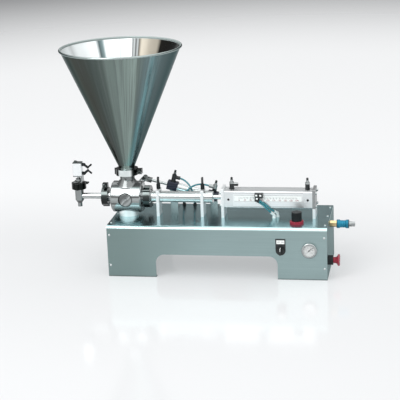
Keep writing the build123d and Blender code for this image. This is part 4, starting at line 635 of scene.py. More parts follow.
class FILLER_OT_cabinet(Operator):
    """Brush the cabinet's sheet, polish its deck and brighten its screws"""

    bl_idname = "filler.cabinet"
    bl_label = "Cabinet"
    DECK_EDGE = (-0.0035, -0.0004)  # heights from the deck between which the sheet turns polished
    DARK_END = (0.02, -0.36)  # from the middle to the left end, which is darker with painted shade
    FOOT_LINE = (0.0055, 0.0015)  # heights over the foot between which a painted shadow line sets in
    LEFT_TINT = (0.62, 0.66, 0.62)
    FOOT_TINT = (0.30, 0.24, 0.22)
    END_GRAIN = (500, 5, 500)
    END_RIM = (0.45, 0.5, 0.5)

    def execute(self, context):
        finishes = context.scene.filler_finishes
        self.brush_shell(finishes, context.scene.filler_marks.bend)
        base = shade(finishes.sheet, 0.95)
        ends = rolled_sheet("end panel sheet", base, self.END_GRAIN, 0.42, self.END_RIM)
        dress(ends, "left_end_panel", "right_end_panel")
        dress(polished_steel("zinc screws", shade(finishes.polished, 1.2), 0.25), "cabinet_screws")
        dress(moulded("control valve blocks", shade(finishes.black, 2.5)), "control_valves")
        return {"FINISHED"}

    def brush_shell(self, finishes, bend):
        """Satin front with painted shade at its left end and a painted shadow line at its foot, bends
        brightened by wear and a painted highlight, and a polished deck
        """
        base = finishes.sheet
        low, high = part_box("cabinet_shell")
        finish = Finish("cabinet sheet")
        x, _, z = finish.axes((0, 0, high.z))
        deck = finish.ease(z, *self.DECK_EDGE)
        rolled = finish.ease(z, -bend, -0.5 * bend)
        streaks = finish.lines((5, 500, 500), 3.0, 0.6)
        clouds = finish.noise(4.0, 3.0)
        wiped = finish.lines((9, 2, 9), 3.0)
        patina = finish.noise(2.2, 2.0, vector=finish.place(scale=(1.0, 1.0, 2.2)))
        mixed = streaks * 0.45 + clouds * 0.25 + patina * 0.3
        # painted shade: the front darkens towards its left end
        left = finish.ease(x + patina.sway(0.2), *self.DARK_END)
        sheet_shaded_left = finish.blend(left, shade(base, 1.26), tinted(base, self.LEFT_TINT))
        # painted shadow: a dark line along the foot of the sheet
        foot = finish.ease(z, *(low.z - high.z + rise for rise in self.FOOT_LINE))
        brushed = finish.blend(mixed, shade(base, 0.70), sheet_shaded_left)
        satin = finish.blend(foot * 0.55, brushed, tinted(base, self.FOOT_TINT))
        # bends brightened partly as wear and partly as a painted highlight
        worn = finish.blend(rolled, satin, shade(base, 2.2))
        top = finish.vary(streaks * 0.4 + wiped * 0.6, finishes.deck, 0.75, 1.30)
        satin_gloss = 0.36 + streaks.sway(0.22) + clouds.sway(0.10)
        top_gloss = 0.22 + streaks.sway(0.12) + wiped.sway(0.08)
        finish.coat(
            "cabinet_shell",
            base_color=finish.blend(deck, worn, top),
            metallic=1.0,
            roughness=satin_gloss + (top_gloss - satin_gloss) * rolled,
            normal=finish.bump(streaks, 0.06, LINE_DEPTH),
        )


# Controls


class FILLER_OT_selector(Operator):
    """Dress the selector switch, its label and its words"""

    bl_idname = "filler.selector"
    bl_label = "Selector switch"
    LABEL_DROP = 0.0110  # top of the plate to the middle of its label
    LABEL_HALF = (0.0135, 0.0065)  # half its width and height
    LINE_HALF = 0.0009  # half the width of the knob's white line
    LINE_START = 0.002  # above the knob's axis
    WORDS = (("OFF", -0.0066), ("ON", 0.0072))  # with their places along the label

    def execute(self, context):
        finishes = context.scene.filler_finishes
        marks = context.scene.filler_marks
        low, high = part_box("selector_body")
        middle = (low.x + high.x) / 2
        level = high.z - self.LABEL_DROP
        body = Finish("switch plate")
        x, _, z = body.axes((middle, 0, level))
        label = (abs(x) < self.LABEL_HALF[0]) * (abs(z) < self.LABEL_HALF[1])
        grime = body.noise(120.0, 3.0)
        dark = body.vary(grime, finishes.black, 1.0, 1.6)
        body.coat(
            "selector_body",
            base_color=body.blend(label, dark, finishes.card),
            roughness=0.42 + grime.sway(0.2),
            normal=body.bump(grime, 0.03),
        )
        knob = Finish("switch knob")
        x, _, z = knob.axes(midway(*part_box("selector_knob")))
        line = (abs(x) < self.LINE_HALF) * (z > self.LINE_START)
        grain = knob.noise(800.0, 2.0)
        knob.coat(
            "selector_knob",
            base_color=knob.blend(line, finishes.black, finishes.card),
            roughness=0.38 + grain.sway(0.2),
            normal=knob.bump(grain, 0.1, GRAIN_DEPTH),
        )
        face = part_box("cabinet_shell")[0].y - marks.legend
        words = [(word, Vector((middle + shift, face, level))) for word, shift in self.WORDS]
        ink = moulded("switch ink", finishes.ink)
        lettering("switch_words", words, marks.switch_word, MACHINE, ink)
        return {"FINISHED"}


class FILLER_OT_gauge(Operator):
    """Dress the pressure gauge and print its dial"""

    bl_idname = "filler.gauge"
    bl_label = "Pressure gauge"
    SWEEP = math.radians(270)
    FULL = 10  # reading at the end of the dial
    DIVISIONS = 50
    TICK_REACH = (0.70, 0.80, 0.90)  # inner ends of long and short ticks and their outer end, over the radius
    TICK_HALF = (0.05, 0.12)  # half widths of long and short ticks, over their steps
    END_ROOM = 0.005  # beyond the first and last tick, over the sweep
    FIGURE_REACH = 0.53  # of the figures' middles, over the radius
    GLASS = (0.95, 0.97, 0.97)

    def execute(self, context):
        finishes = context.scene.filler_finishes
        marks = context.scene.filler_marks
        dress(polished_steel("gauge case", shade(finishes.polished, 0.85), 0.10, under=0.22), "gauge_case")
        low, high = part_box("gauge_dial")
        centre = midway(low, high, low.y)
        radius = (high.x - low.x) / 2
        dial = Finish("gauge dial")
        x, _, z = dial.axes(centre)
        reach = (x * x + z * z).root() / radius
        turn = x.maths("ARCTAN2", x, z) / self.SWEEP + MIDDLE
        inside = (turn > -self.END_ROOM) * (turn < 1.0 + self.END_ROOM)
        coarse = (turn * self.FULL).off_step() < self.TICK_HALF[0]
        fine = (turn * self.DIVISIONS).off_step() < self.TICK_HALF[1]
        long, short, outer = self.TICK_REACH
        ticks = ((reach > short) * fine).either((reach > long) * coarse) * (reach < outer) * inside
        paper = dial.noise(300.0, 2.0)
        card = dial.vary(paper, finishes.card, 0.64, 0.72)
        printed = dial.blend(ticks, card, finishes.ink)
        dial.coat("gauge_dial", base_color=printed, roughness=0.55 + paper * 0.1)
        figures = []
        for step in range(0, self.FULL + 1, 2):
            at = self.SWEEP * (step / self.FULL - MIDDLE)
            ray = Vector((math.sin(at), 0, math.cos(at)))
            figures.append((str(step), centre + ray * radius * self.FIGURE_REACH))
        ink = moulded("dial ink", finishes.ink)
        lettering("dial_figures", figures, marks.dial_figure, MACHINE, ink)
        dress(moulded("gauge needle", finishes.black, 0.5), "gauge_needle")
        lens = Finish("gauge lens")
        dust = lens.noise(200.0, 3.0)
        haze = dust * 0.06
        lens.coat("gauge_lens", base_color=self.GLASS, roughness=0.04 + haze, alpha=0.10 + haze)
        return {"FINISHED"}


class FILLER_OT_regulator(Operator):
    """Dress the pressure regulator on the deck"""

    bl_idname = "filler.regulator"
    bl_label = "Regulator"

    def execute(self, context):
        finishes = context.scene.filler_finishes
        dress(moulded("regulator black", finishes.black, 0.42), "regulator_knob", "regulator_body")
        dress(moulded("regulator red", finishes.red, 0.30), "regulator_nut")
        return {"FINISHED"}


class FILLER_OT_emergency_stop(Operator):
    """Dress the emergency stop, with turn arrows on its head"""

    bl_idname = "filler.emergency_stop"
    bl_label = "Emergency stop"
    ARROW_REACH = 0.011  # from the head's axis to the arrows' middle line
    ARROW_HALF = 0.0007  # half the width of an arrow's shaft
    ARROW_TURN = (0.2, 0.62, 0.80)  # start, neck and tip of an arrow, over half a turn
    ARROW_SPREAD = 0.014  # half width of an arrow's head, per half turn from its tip
    FACE_DEPTH = 0.002  # behind the head's front, within which the arrows lie

    def execute(self, context):
        finishes = context.scene.filler_finishes
        dress(moulded("stop base black", finishes.black, 0.45), "estop_base")
        dress(moulded("stop neck red", finishes.red, 0.32), "estop_plunger")
        low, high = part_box("estop_mushroom")
        head = Finish("stop head red")
        x, y, z = head.axes((high.x, (low.y + high.y) / 2, (low.z + high.z) / 2))
        reach = (y * y + z * z).root()
        halves = x.maths("ARCTAN2", y, z) / math.pi + 1.0
        turn = halves.maths("FRACT", halves)
        start, neck, tip = self.ARROW_TURN
        aside = abs(reach - self.ARROW_REACH)
        shaft = (aside < self.ARROW_HALF) * (turn > start) * (turn < neck)
        point = (aside < (tip - turn) * self.ARROW_SPREAD) * (turn > neck) * (turn < tip)
        arrows = shaft.either(point) * (x > -self.FACE_DEPTH)
        wear = head.noise(90.0, 3.0)
        base = head.vary(wear, finishes.red, 1.0, 1.25)
        head.coat(
            "estop_mushroom",
            base_color=head.blend(arrows, base, finishes.card),
            roughness=0.30 + wear.sway(0.16),
            normal=head.bump(wear, 0.03),
        )
        return {"FINISHED"}


class FILLER_OT_air_inlet(Operator):
    """Dress the brass inlet and the teal sleeve of its slide valve"""

    bl_idname = "filler.air_inlet"
    bl_label = "Air inlet"
    SLEEVE_ENDS = (0.36, 0.5)  # from the sleeve's middle, over its length, where its ends darken

    def execute(self, context):
        finishes = context.scene.filler_finishes
        dress(polished_steel("inlet brass", finishes.brass, 0.18, under=0.20), "inlet_fitting")
        dress(polished_steel("inlet nickel", shade(finishes.polished, 0.6), 0.18), "inlet_valve_body")
        low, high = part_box("inlet_sleeve")
        sleeve = Finish("sleeve teal")
        x, _, _ = sleeve.axes(((low.x + high.x) / 2, 0, 0))
        ends = sleeve.ease(abs(x), *(share * (high.x - low.x) for share in self.SLEEVE_ENDS))
        lines = sleeve.lines((900, 60, 60), 2.0)
        base = finishes.teal
        middle = sleeve.vary(lines, base, 0.8, 1.4)
        sleeve.coat(
            "inlet_sleeve",
            base_color=sleeve.blend(ends, middle, shade(base, 0.25)),
            metallic=0.55,
            roughness=0.28 + lines.sway(0.2),
            normal=sleeve.bump(lines, 0.06, LINE_DEPTH),
        )
        return {"FINISHED"}


# Valve, hopper and clamps


class FILLER_OT_valve(Operator):
    """Polish the valve group, with a painted reflection and a rim of painted shade in the recess at its front
    """

    bl_idname = "filler.valve"
    bl_label = "Three-way valve"
    PEDESTAL_GRAIN = (60, 60, 600)
    RECESS_RADIUS = 0.0256
    RECESS_FRONT = -0.040  # the recess lies in front of this depth
    RECESS_RUN = 14.0  # passes through its slanted tones per metre
    # Painted reflection in the recess, along its slant: place and tone
    RECESS_TONES = (
        (0.10, 0.16), (0.30, 0.08), (0.45, 0.35), (0.52, 0.75), (0.60, 0.20), (0.78, 0.60), (0.92, 0.3),
    )
    EDGE_RADIUS = 0.0245
    EDGE_FADE = (0.0018, 0.0006)  # distances from it between which the painted shade of the dark rim sets in
    NECK = (0.037, 0.046)  # heights from the plug's axis between which painted shade darkens the body upwards
    BELLY = (0.006, -0.014)  # and downwards, also painted shade

    def execute(self, context):
        base = context.scene.filler_finishes.polished
        dress(self.recessed_steel("valve polish", base), "valve_body", "valve_spool")
        pedestal = extruded_alloy("pedestal alloy", shade(base, 1.45), self.PEDESTAL_GRAIN, 0.22, 0.45)
        dress(pedestal, "valve_pedestal")
        dress(polished_steel("lever steel", shade(base, 0.8), 0.2), "valve_lever")
        return {"FINISHED"}

    def recessed_steel(self, name, base):
        """Polished steel with a painted reflection by slope, painted shade over the neck, the belly and the
        recess's rim, and a painted reflection of the dark room in the round recess around the plug
        """
        finish = Finish(name)
        x, y, z = finish.axes(midway(*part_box("valve_spool")))
        reach = (x * x + z * z).root()
        front = y < self.RECESS_FRONT
        recess = (reach < self.RECESS_RADIUS) * front
        edge = finish.ease(abs(reach - self.EDGE_RADIUS), *self.EDGE_FADE) * front
        waves, gloss = finish.polish()
        slant = (x - z) * self.RECESS_RUN + MIDDLE + waves.sway(0.5)
        mirrored = finish.tones(slant, base, self.RECESS_TONES)
        # painted shade: the body darkens above the plug and below it
        neck = finish.ease(z, *self.NECK)
        belly = finish.ease(z, *self.BELLY)
        bands = finish.blend(belly * 0.38, finish.bands(base, waves), shade(base, 0.08))
        body = finish.blend(neck, bands, shade(base, 0.30))
        # painted reflection in the recess, and painted shade on its rim
        tint = finish.blend(edge * 0.7, finish.blend(recess * 0.8, body, mirrored), shade(base, 0.10))
        return finish.surface(
            base_color=tint,
            metallic=MIRROR_METAL,
            roughness=0.13 + gloss,
            normal=finish.bump(waves, 0.10, WAVE_DEPTH),
        )


class FILLER_OT_hopper(Operator):
    """Give the hopper its rolled sheet, streaked from rim to foot with a painted reflection, with a welded
    seam
    """

    bl_idname = "filler.hopper"
    bl_label = "Hopper"
    BEAD = 0.004  # rise of the rolled rim over the cone
    BEAD_EDGE = 0.0042  # its lower edge, below the top of the cone
    SEAM_HALF = 0.0016  # half widths of the seam and of the weld at the foot
    WELD_HALF = 0.0022
    WELD_DEPTH = 0.002
    STREAKS = (0.42, 0.66)  # noise between which dull streaks set in
    AXIS_ROOM = 0.0001  # keeps the distance from the axis above zero
    RIM_TINT = (0.45, 0.50, 0.50)
    COLD = (0.92, 0.97, 0.98)
    WARM = (0.92, 0.84, 0.70)
    GREEN = (0.228, 0.288, 0.266)
    BROWN = (0.255, 0.26, 0.225)
    BLUE = (0.22, 0.30, 0.31)
    # Painted reflection streaks on the outside and the inside, from left to right, with a rust hue at the
    # outside's left end: place, tone and hue
    OUTER = (
        (0.00, 0.14, BROWN), (0.03, 0.16, BROWN), (0.08, 0.32, BROWN), (0.14, 0.22, BROWN),
        (0.25, 0.26, GREEN), (0.34, 0.30, GREEN), (0.365, 0.52, GREEN), (0.44, 0.56, GREEN),
        (0.47, 0.86, GREEN), (0.55, 0.92, GREEN), (0.58, 1.12, GREEN), (0.62, 1.04, GREEN),
        (0.645, 0.66, GREEN), (0.71, 0.58, BLUE), (0.74, 0.98, BLUE), (0.80, 0.80, BLUE),
        (0.85, 0.46, BLUE), (0.93, 0.36, BLUE), (1.00, 0.45, BLUE),
    )
    INNER = (
        (0.00, 0.80, COLD), (0.05, 0.98, COLD), (0.08, 0.70, COLD), (0.12, 1.00, COLD),
        (0.29, 1.00, COLD), (0.32, 0.40, BLUE), (0.35, 0.95, BLUE), (0.37, 1.00, COLD),
        (0.595, 0.98, COLD), (0.61, 0.14, COLD), (0.627, 0.40, COLD), (0.64, 0.06, COLD),
        (0.66, 0.34, COLD), (0.675, 0.08, WARM), (0.70, 0.46, WARM), (0.83, 0.40, WARM),
        (0.855, 0.01, WARM), (0.98, 0.01, COLD), (1.00, 0.10, COLD),
    )

    def execute(self, context):
        base = context.scene.filler_finishes.cone
        marks = context.scene.filler_marks
        low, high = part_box("hopper")
        finish = Finish("hopper sheet")
        centre = ((low.x + high.x) / 2, 0, high.z - self.BEAD - marks.cone_rise)
        x, y, z = finish.axes(centre, (0, 0, marks.facing))
        reach = (x * x + y * y).root() + self.AXIS_ROOM
        slope = (marks.cone_rim - marks.cone_foot) / marks.cone_rise
        outside = reach > marks.cone_foot - marks.cone_wall / 2 + z * slope
        across = x / reach * MIDDLE + MIDDLE
        turned = {"X": x / reach, "Y": y / reach, "Z": z * 0.12}
        around = finish.node("ShaderNodeCombineXYZ", inputs=turned)
        broad = finish.noise(3.2, 2.0, vector=around)
        fine = finish.noise(26.0, 3.0, 0.6, around)
        drift = across + broad.sway(0.05)
        mirrored = finish.ramp(drift, [(at, shade(hue, tone)) for at, tone, hue in self.OUTER])
        lit = finish.ramp(drift, [(at, shade(hue, tone)) for at, tone, hue in self.INNER])
        # painted reflection: lit tones inside, mirrored tones outside
        sheet = finish.blend(outside, lit, mirrored)
        streaks = finish.ease(fine, *self.STREAKS)
        dulled = finish.blend(streaks * outside * 0.5, sheet, shade(base, 0.35))
        seam = (abs(x) < self.SEAM_HALF) * (y > 0.0) * (z > 0.0)
        welds = seam.either(abs(z) < self.WELD_HALF)
        beads = finish.lines((500, 500, 120), 1.0)
        tint = finish.blend(welds * 0.6, dulled, shade(base, 1.6))
        rolled = z > marks.cone_rise - self.BEAD_EDGE
        finish.coat(
            "hopper",
            base_color=finish.blend(rolled, tint, shade(base, 1.3)),
            metallic=0.2 + outside * 0.8,
            specular_tint=self.RIM_TINT,
            specular_ior_level=0.2,
            roughness=0.24 - outside * 0.04 + fine.sway(0.16),
            normal=finish.bump(fine * 0.3 + welds * beads, 0.10, self.WELD_DEPTH),
        )
        return {"FINISHED"}


class FILLER_OT_clamps(Operator):
    """Dress the pipe clamps, their wing nuts and gaskets"""

    bl_idname = "filler.clamps"
    bl_label = "Pipe clamps"
    EARS = (0.018, 0.027)  # from the hopper's axis, where the ring turns into its ears, which are painted dark as a reflection
    NOZZLE_ROOM = 0.012  # to the right of the nozzle's body, within which its clamp lies
    BRIGHT_TOP = (-0.2, 0.8)  # slopes, from down to up, between which painted shade on a clamp gives way to its lit tone

    def execute(self, context):
        finishes = context.scene.filler_finishes
        self.dress_hopper_clamp(finishes)
        self.dress_pipe_clamps(finishes)
        nuts = [f"{joint}_wing_nut" for joint in ("hopper", "cylinder", "outlet", "nozzle")]
        dress(polished_steel("wing nuts", shade(finishes.clamp, 1.2), 0.22), *nuts)
        dress(moulded("gasket rubber", shade(finishes.card, 0.7), 0.6), "clamp_gaskets")
        return {"FINISHED"}

    def dress_hopper_clamp(self, finishes):
        """Bright ring whose ears and bolts are painted dark as a reflection"""
        finish = Finish("hopper clamp steel")
        x, _, _ = finish.axes(midway(*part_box("hopper")))
        # painted reflection: the ears and their bolts are darkened
        ears = finish.ease(abs(x), *self.EARS)
        waves = finish.noise(40.0, 2.0)
        scratches = finish.noise(600.0, 3.0, 0.7)
        ring = finish.vary(waves, finishes.polished, 0.8, 1.3)
        finish.coat(
            "hopper_clamp",
            base_color=finish.blend(ears, ring, shade(finishes.clamp, 0.22)),
            metallic=1.0,
            roughness=0.14 + scratches.sway(0.12),
            normal=finish.bump(waves, 0.10, WAVE_DEPTH),
        )

    def dress_pipe_clamps(self, finishes):
        """Polished clamps with painted shade on faces that look down, and the nozzle's clamp blackened"""
        base = finishes.clamp
        finish = Finish("clamp steel")
        x, _, _ = finish.axes()
        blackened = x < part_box("nozzle_body")[1].x + self.NOZZLE_ROOM
        waves = finish.noise(30.0, 2.0)
        scratches = finish.noise(600.0, 3.0, 0.7)
        bright = finish.vary(waves, base, 0.75, 1.25)
        # painted shade: faces that look down take a dark tone
        steel = finish.blend(finish.ease(finish.level(), *self.BRIGHT_TOP), shade(base, 0.16), bright)
        finish.coat(
            "pipe_clamps",
            base_color=finish.blend(blackened, steel, shade(base, 0.10)),
            metallic=1.0,
            roughness=0.14 + blackened * 0.14 + scratches.sway(0.12),
            normal=finish.bump(waves, 0.08, WAVE_DEPTH),
        )


class FILLER_OT_nozzle(Operator):
    """Dress the outlet pipe, the nozzle and its small air cylinder"""

    bl_idname = "filler.nozzle"
    bl_label = "Nozzle"
    CAP_HEIGHT = 0.0075  # of the small cylinder's dark cap

    def execute(self, context):
        finishes = context.scene.filler_finishes
        dress(mirror_steel("pipe polish", shade(finishes.polished, 1.2)), "outlet_pipe")
        steel = polished_steel("nozzle polish", shade(finishes.polished, 0.6), 0.16, under=0.30)
        dress(steel, "nozzle_body", "nozzle_bracket", "nozzle_plug")
        finish = Finish("small cylinder")
        _, _, z = finish.axes((0, 0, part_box("nozzle_cylinder")[1].z))
        cap = z > -self.CAP_HEIGHT
        lines = finish.lines((500, 500, 8), 3.0)
        body = finish.vary(lines, finishes.alloy, 0.92, 1.05)
        finish.coat(
            "nozzle_cylinder",
            base_color=finish.blend(cap, body, finishes.clamp),
            metallic=0.85,
            roughness=0.36 + lines.sway(0.2),
            normal=finish.bump(lines, 0.05, LINE_DEPTH),
        )
        dress(moulded("elbow black", finishes.black, 0.4), "nozzle_elbows")
        return {"FINISHED"}


# Cylinders


class FILLER_OT_metering(Operator):
    """Dress the metering cylinder, its posts, knobs, rod and pistons"""

    bl_idname = "filler.metering"
    bl_label = "Metering cylinder"
    HEAD_OVERLAP = 0.001  # of the grey region, painted shade with a speckled grain like a rough casting, over the end of the drive's heads

    def execute(self, context):
        finishes = context.scene.filler_finishes
        tube = mirror_steel("cylinder polish", shade(finishes.polished, 1.4))
        dress(tube, "material_cylinder", "cylinder_rear_cap", "piston_rod")
        dress(extruded_alloy("piston alloy", finishes.alloy), "pistons")
        self.dress_posts(finishes)
        dress(moulded("knob black", finishes.black, 0.4), "clamp_knob_1", "clamp_knob_2")
        return {"FINISHED"}

    def dress_posts(self, finishes):
        """Bright plates; the last one is painted grey with shade, speckled like a rough casting, where it
        carries the drive's rear head
        """
        base = finishes.alloy
        low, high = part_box("drive_heads")
        finish = Finish("post alloy")
        x, _, z = finish.axes()
        # painted shade: the top of the last plate, by the drive's rear head
        rough = (x > high.x - self.HEAD_OVERLAP) * (z > low.z)
        lines = finish.lines((600, 600, 8), 3.0, 0.6)
        grit = finish.noise(260.0, 3.0, 0.7)
        edge = finish.vary(lines, base, 0.76, 0.94)
        cast = finish.vary(grit, base, 0.16, 0.44)
        finish.coat(
            "posts",
            base_color=finish.blend(rough, edge, cast),
            metallic=0.4,
            roughness=0.34 + lines.sway(0.16),
            normal=finish.bump(lines, 0.05, LINE_DEPTH),
        )


class FILLER_OT_drive(Operator):
    """Dress the drive cylinder, print its stroke scale and dress the limit valve"""

    bl_idname = "filler.drive"
    bl_label = "Drive cylinder"
    GROOVE_INSET = 0.0060  # of the corner grooves from the barrel's sides
    GROOVE_HALF = 0.0007  # half their width
    GROOVE_DEPTH = 0.0008
    SCREW_INSET = 0.016  # of the cushion screws from the heads' ends
    SCREW_RADIUS = 0.0042
    SCREW_DEPTH = 0.0062
    FIGURE_STEPS = 4  # ticks from one figure to the next
    FIGURE_VALUE = 20  # from one figure to the next
    FIGURE_DROP = 0.0062  # below the strip's middle
    TICK_HALF = (0.055, 0.11)  # half widths of long and short ticks, over their steps
    TICK_FOOT = (-0.002, 0.0005)  # their lower ends, from the strip's middle
    TICK_TOP = 0.0045
    TICK_ROOM = 0.2  # beyond the first and last tick, over a step
    BORDER = 0.0007
    PLATE_DEPTH = 0.001
    # White plates on the limit valve: place across and down, half width and half height
    PLATES = (
        (0.0062, -0.0064, 0.0032, 0.0030),
        (0.0202, -0.0068, 0.0032, 0.0030),
        (0.0080, -0.0180, 0.0034, 0.0026),
    )

    def execute(self, context):
        finishes = context.scene.filler_finishes
        self.dress_barrel(finishes)
        self.dress_heads(finishes)
        dress(polished_steel("bolt steel", shade(finishes.polished, 0.9), 0.25), "drive_bolts")
        self.print_scale(finishes, context.scene.filler_marks)
        self.dress_limit_valve(finishes)
        return {"FINISHED"}

    def dress_barrel(self, finishes):
        """Drawn alloy with a shallow groove along each corner of the section, darkened with painted shadow"""
        base = finishes.alloy
        low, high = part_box("drive_barrel")
        finish = Finish("drive alloy")
        _, y, z = finish.axes((0, (low.y + high.y) / 2, (low.z + high.z) / 2))
        inset = (high.z - low.z) / 2 - self.GROOVE_INSET
        groove = (abs(abs(z) - inset) < self.GROOVE_HALF).either(abs(abs(y) - inset) < self.GROOVE_HALF)
        lines = finish.lines((8, 600, 600), 3.0, 0.6)
        clouds = finish.noise(9.0, 2.0)
        drawn = finish.vary(lines * 0.6 + clouds * 0.4, base, 0.80, 1.0)
        # painted shadow: the grooves take a darker tone
        finish.coat(
            "drive_barrel",
            base_color=finish.blend(groove, drawn, shade(base, 0.35)),
            metallic=0.85,
            roughness=0.36 + lines.sway(0.16),
            normal=finish.bump(lines * 0.2 - groove, 0.10, self.GROOVE_DEPTH),
        )

    def dress_heads(self, finishes):
        """Cast heads with a dark disc of painted shade for the recess of each cushion screw"""
        base = finishes.alloy
        low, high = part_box("drive_heads")
        finish = Finish("drive head alloy")
        x, y, z = finish.axes(midway(low, high, low.y))
        side = abs(x) - ((high.x - low.x) / 2 - self.SCREW_INSET)
        # painted shade: a dark disc where each cushion screw's recess lies
        recess = ((side * side + z * z).root() < self.SCREW_RADIUS) * (y < self.SCREW_DEPTH)
        grit = finish.noise(500.0, 3.0, 0.6)
        clouds = finish.noise(14.0, 2.0)
        cast = finish.vary(grit * 0.5 + clouds * 0.5, base, 0.66, 0.95)
        finish.coat(
            "drive_heads",
            base_color=finish.blend(recess, cast, shade(base, 0.06)),
            metallic=0.8,
            roughness=0.40 + grit.sway(0.2),
            normal=finish.bump(grit, 0.10, LINE_DEPTH),
        )

    def print_scale(self, finishes, marks):
        """Card strip with ticks, border lines and red figures"""
        low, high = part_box("stroke_scale")
        middle = (low.z + high.z) / 2
        steps = self.FIGURE_STEPS * (marks.scale_figures - 1)
        start = (low.x + high.x) / 2 - marks.scale_step * steps / 2
        strip = Finish("scale strip")
        x, _, z = strip.axes((start, 0, middle))
        run = x / marks.scale_step
        coarse = ((run / 2).off_step() < self.TICK_HALF[0]) * (z > self.TICK_FOOT[0])
        fine = (run.off_step() < self.TICK_HALF[1]) * (z > self.TICK_FOOT[1])
        inside = (run > -self.TICK_ROOM) * (run < steps + self.TICK_ROOM)
        ticks = fine.either(coarse) * (z < self.TICK_TOP) * inside
        border = abs(z) > (high.z - low.z) / 2 - self.BORDER
        paper = strip.lines((8, 300, 300), 2.0)
        card = strip.vary(paper, finishes.card, 0.94, 1.08)
        strip.coat(
            "stroke_scale",
            base_color=strip.blend(ticks.either(border * 0.75), card, finishes.ink),
            roughness=0.40 + paper.sway(0.2),
        )
        figures = []
        for step in range(marks.scale_figures):
            along = start + step * self.FIGURE_STEPS * marks.scale_step
            place = Vector((along, low.y, middle - self.FIGURE_DROP))
            figures.append((str(self.FIGURE_VALUE * step), place))
        ink = moulded("scale red ink", shade(finishes.red, 0.9))
        lettering("scale_figures", figures, marks.scale_figure, MACHINE, ink)

    def dress_limit_valve(self, finishes):
        """Black body with small white plates on its front"""
        low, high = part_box("limit_valve")
        finish = Finish("limit valve black")
        x, y, z = finish.axes((low.x, low.y, high.z))
        white = 0.0
        for across, down, half_x, half_z in self.PLATES:
            white = ((abs(x - across) < half_x) * (abs(z - down) < half_z)).either(white)
        grain = finish.noise(700.0, 2.0)
        finish.coat(
            "limit_valve",
            base_color=finish.blend(white * (y < self.PLATE_DEPTH), finishes.black, finishes.card),
            roughness=0.42 + grain.sway(0.2),
            normal=finish.bump(grain, 0.1, GRAIN_DEPTH),
        )


def actuator_line():
    """Middle of the slanted actuator and the direction of its axis"""
    low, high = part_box("actuator_body")
    return midway(low, high), Vector((high.x - low.x, 0, low.z - high.z)).normalized()


class FILLER_OT_actuator(Operator):
    """Dress the cylinder that turns the valve"""

    bl_idname = "filler.actuator"
    bl_label = "Valve actuator"
    CAP_START = 0.0548  # from the actuator's middle to its caps

    def execute(self, context):
        finishes = context.scene.filler_finishes
        dress(polished_steel("actuator rod", finishes.polished, 0.2), "actuator_rod", "actuator_brackets")
        centre, along = actuator_line()
        finish = Finish("actuator body")
        x, _, z = finish.axes(centre)
        caps = abs(x * along.x + z * along.z) > self.CAP_START
        lines = finish.lines((9, 500, 500), 2.0)
        steel = finish.vary(lines, finishes.polished, 0.9, 1.2)
        finish.coat(
            "actuator_body",
            base_color=finish.blend(caps, steel, finishes.navy),
            metallic=1.0 - caps * 0.8,
            roughness=0.28 + lines.sway(0.2),
            normal=finish.bump(lines, 0.04, LINE_DEPTH),
        )
        return {"FINISHED"}


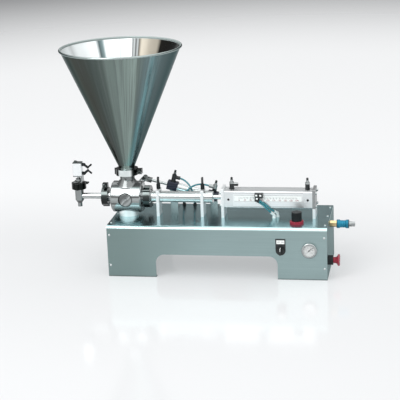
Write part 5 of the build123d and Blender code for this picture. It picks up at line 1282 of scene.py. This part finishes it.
class FILLER_OT_fittings(Operator):
    """Dress the speed controllers, their screws and the hose fittings"""

    bl_idname = "filler.fittings"
    bl_label = "Air fittings"
    CONTROLLERS = ("drive_front", "drive_rear", "actuator_front", "actuator_rear")
    BLACK_END = 0.05  # the fittings to the left of it are black
    DRIVE_ROOM = 0.01  # to the left of the heads, where the drive's controllers may reach
    DRIVE_STEM = 0.0205  # rise of a stem over the drive's heads
    ACTUATOR_EXTRA = 0.0165  # further rise of a stem over the actuator's axis

    def execute(self, context):
        finishes = context.scene.filler_finishes
        self.dress_controllers(finishes)
        screws = [f"{place}_speed_screw" for place in self.CONTROLLERS]
        dress(polished_steel("speed screws", shade(finishes.clamp, 0.5), 0.3), *screws)
        finish = Finish("hose fittings")
        x, _, _ = finish.axes()
        grain = finish.noise(400.0, 2.0)
        pale = finish.vary(grain, finishes.white, 0.9, 1.1)
        finish.coat(
            "hose_fittings",
            base_color=finish.blend(x < self.BLACK_END, pale, finishes.black),
            roughness=0.38 + grain.sway(0.2),
            specular_ior_level=0.4,
            normal=finish.bump(grain, 0.06, GRAIN_DEPTH),
        )
        return {"FINISHED"}

    def dress_controllers(self, finishes):
        """Black bodies with nickel stems, upright on the drive and square to the slanted actuator"""
        low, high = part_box("drive_heads")
        centre, along = actuator_line()
        finish = Finish("controller black")
        x, _, z = finish.axes()
        slant = (x - centre.x) * -along.z + (z - centre.z) * along.x
        upright = x > low.x - self.DRIVE_ROOM
        rise = slant + (z - high.z - slant) * upright
        stem = rise > self.DRIVE_STEM + (1.0 - upright) * self.ACTUATOR_EXTRA
        grain = finish.noise(700.0, 2.0)
        wear = finish.noise(60.0, 3.0)
        body = finish.vary(wear, finishes.black, 1.0, 1.35)
        finish.coat(
            "speed_controllers",
            base_color=finish.blend(stem, body, shade(finishes.polished, 0.62)),
            metallic=stem * 0.9,
            roughness=0.42 - stem * 0.14 + wear.sway(0.2),
            normal=finish.bump(grain, 0.1, GRAIN_DEPTH),
        )


class FILLER_PT_sidebar(Panel):
    """Steps that dress the machine, in order"""

    bl_idname = "FILLER_PT_sidebar"
    bl_label = "Piston Filling Machine"
    bl_space_type = "VIEW_3D"
    bl_region_type = "UI"
    bl_category = "Filler"

    def draw(self, context):
        for step in STEPS:
            self.layout.operator(step.bl_idname)
        for group in GROUPS:
            settings = getattr(context.scene, group)
            for name in settings.__annotations__:
                self.layout.prop(settings, name)


STEPS = (
    FILLER_OT_stage,
    FILLER_OT_hoses,
    FILLER_OT_cabinet,
    FILLER_OT_selector,
    FILLER_OT_gauge,
    FILLER_OT_regulator,
    FILLER_OT_emergency_stop,
    FILLER_OT_air_inlet,
    FILLER_OT_valve,
    FILLER_OT_hopper,
    FILLER_OT_clamps,
    FILLER_OT_nozzle,
    FILLER_OT_metering,
    FILLER_OT_drive,
    FILLER_OT_actuator,
    FILLER_OT_fittings,
)
GROUPS = {
    "filler_camera": FillerCamera,
    "filler_studio": FillerStudio,
    "filler_finishes": FillerFinishes,
    "filler_marks": FillerMarks,
}


def register():
    for made in (*GROUPS.values(), *STEPS, FILLER_PT_sidebar):
        bpy.utils.register_class(made)
    for name, group in GROUPS.items():
        setattr(bpy.types.Scene, name, PointerProperty(type=group))


def unregister():
    for name in GROUPS:
        delattr(bpy.types.Scene, name)
    for made in (FILLER_PT_sidebar, *reversed(STEPS), *reversed(GROUPS.values())):
        bpy.utils.unregister_class(made)


def main():
    register()
    for step in STEPS:
        space, name = step.bl_idname.split(".")
        getattr(getattr(bpy.ops, space), name)()


if __name__ == "__main__":
    main()
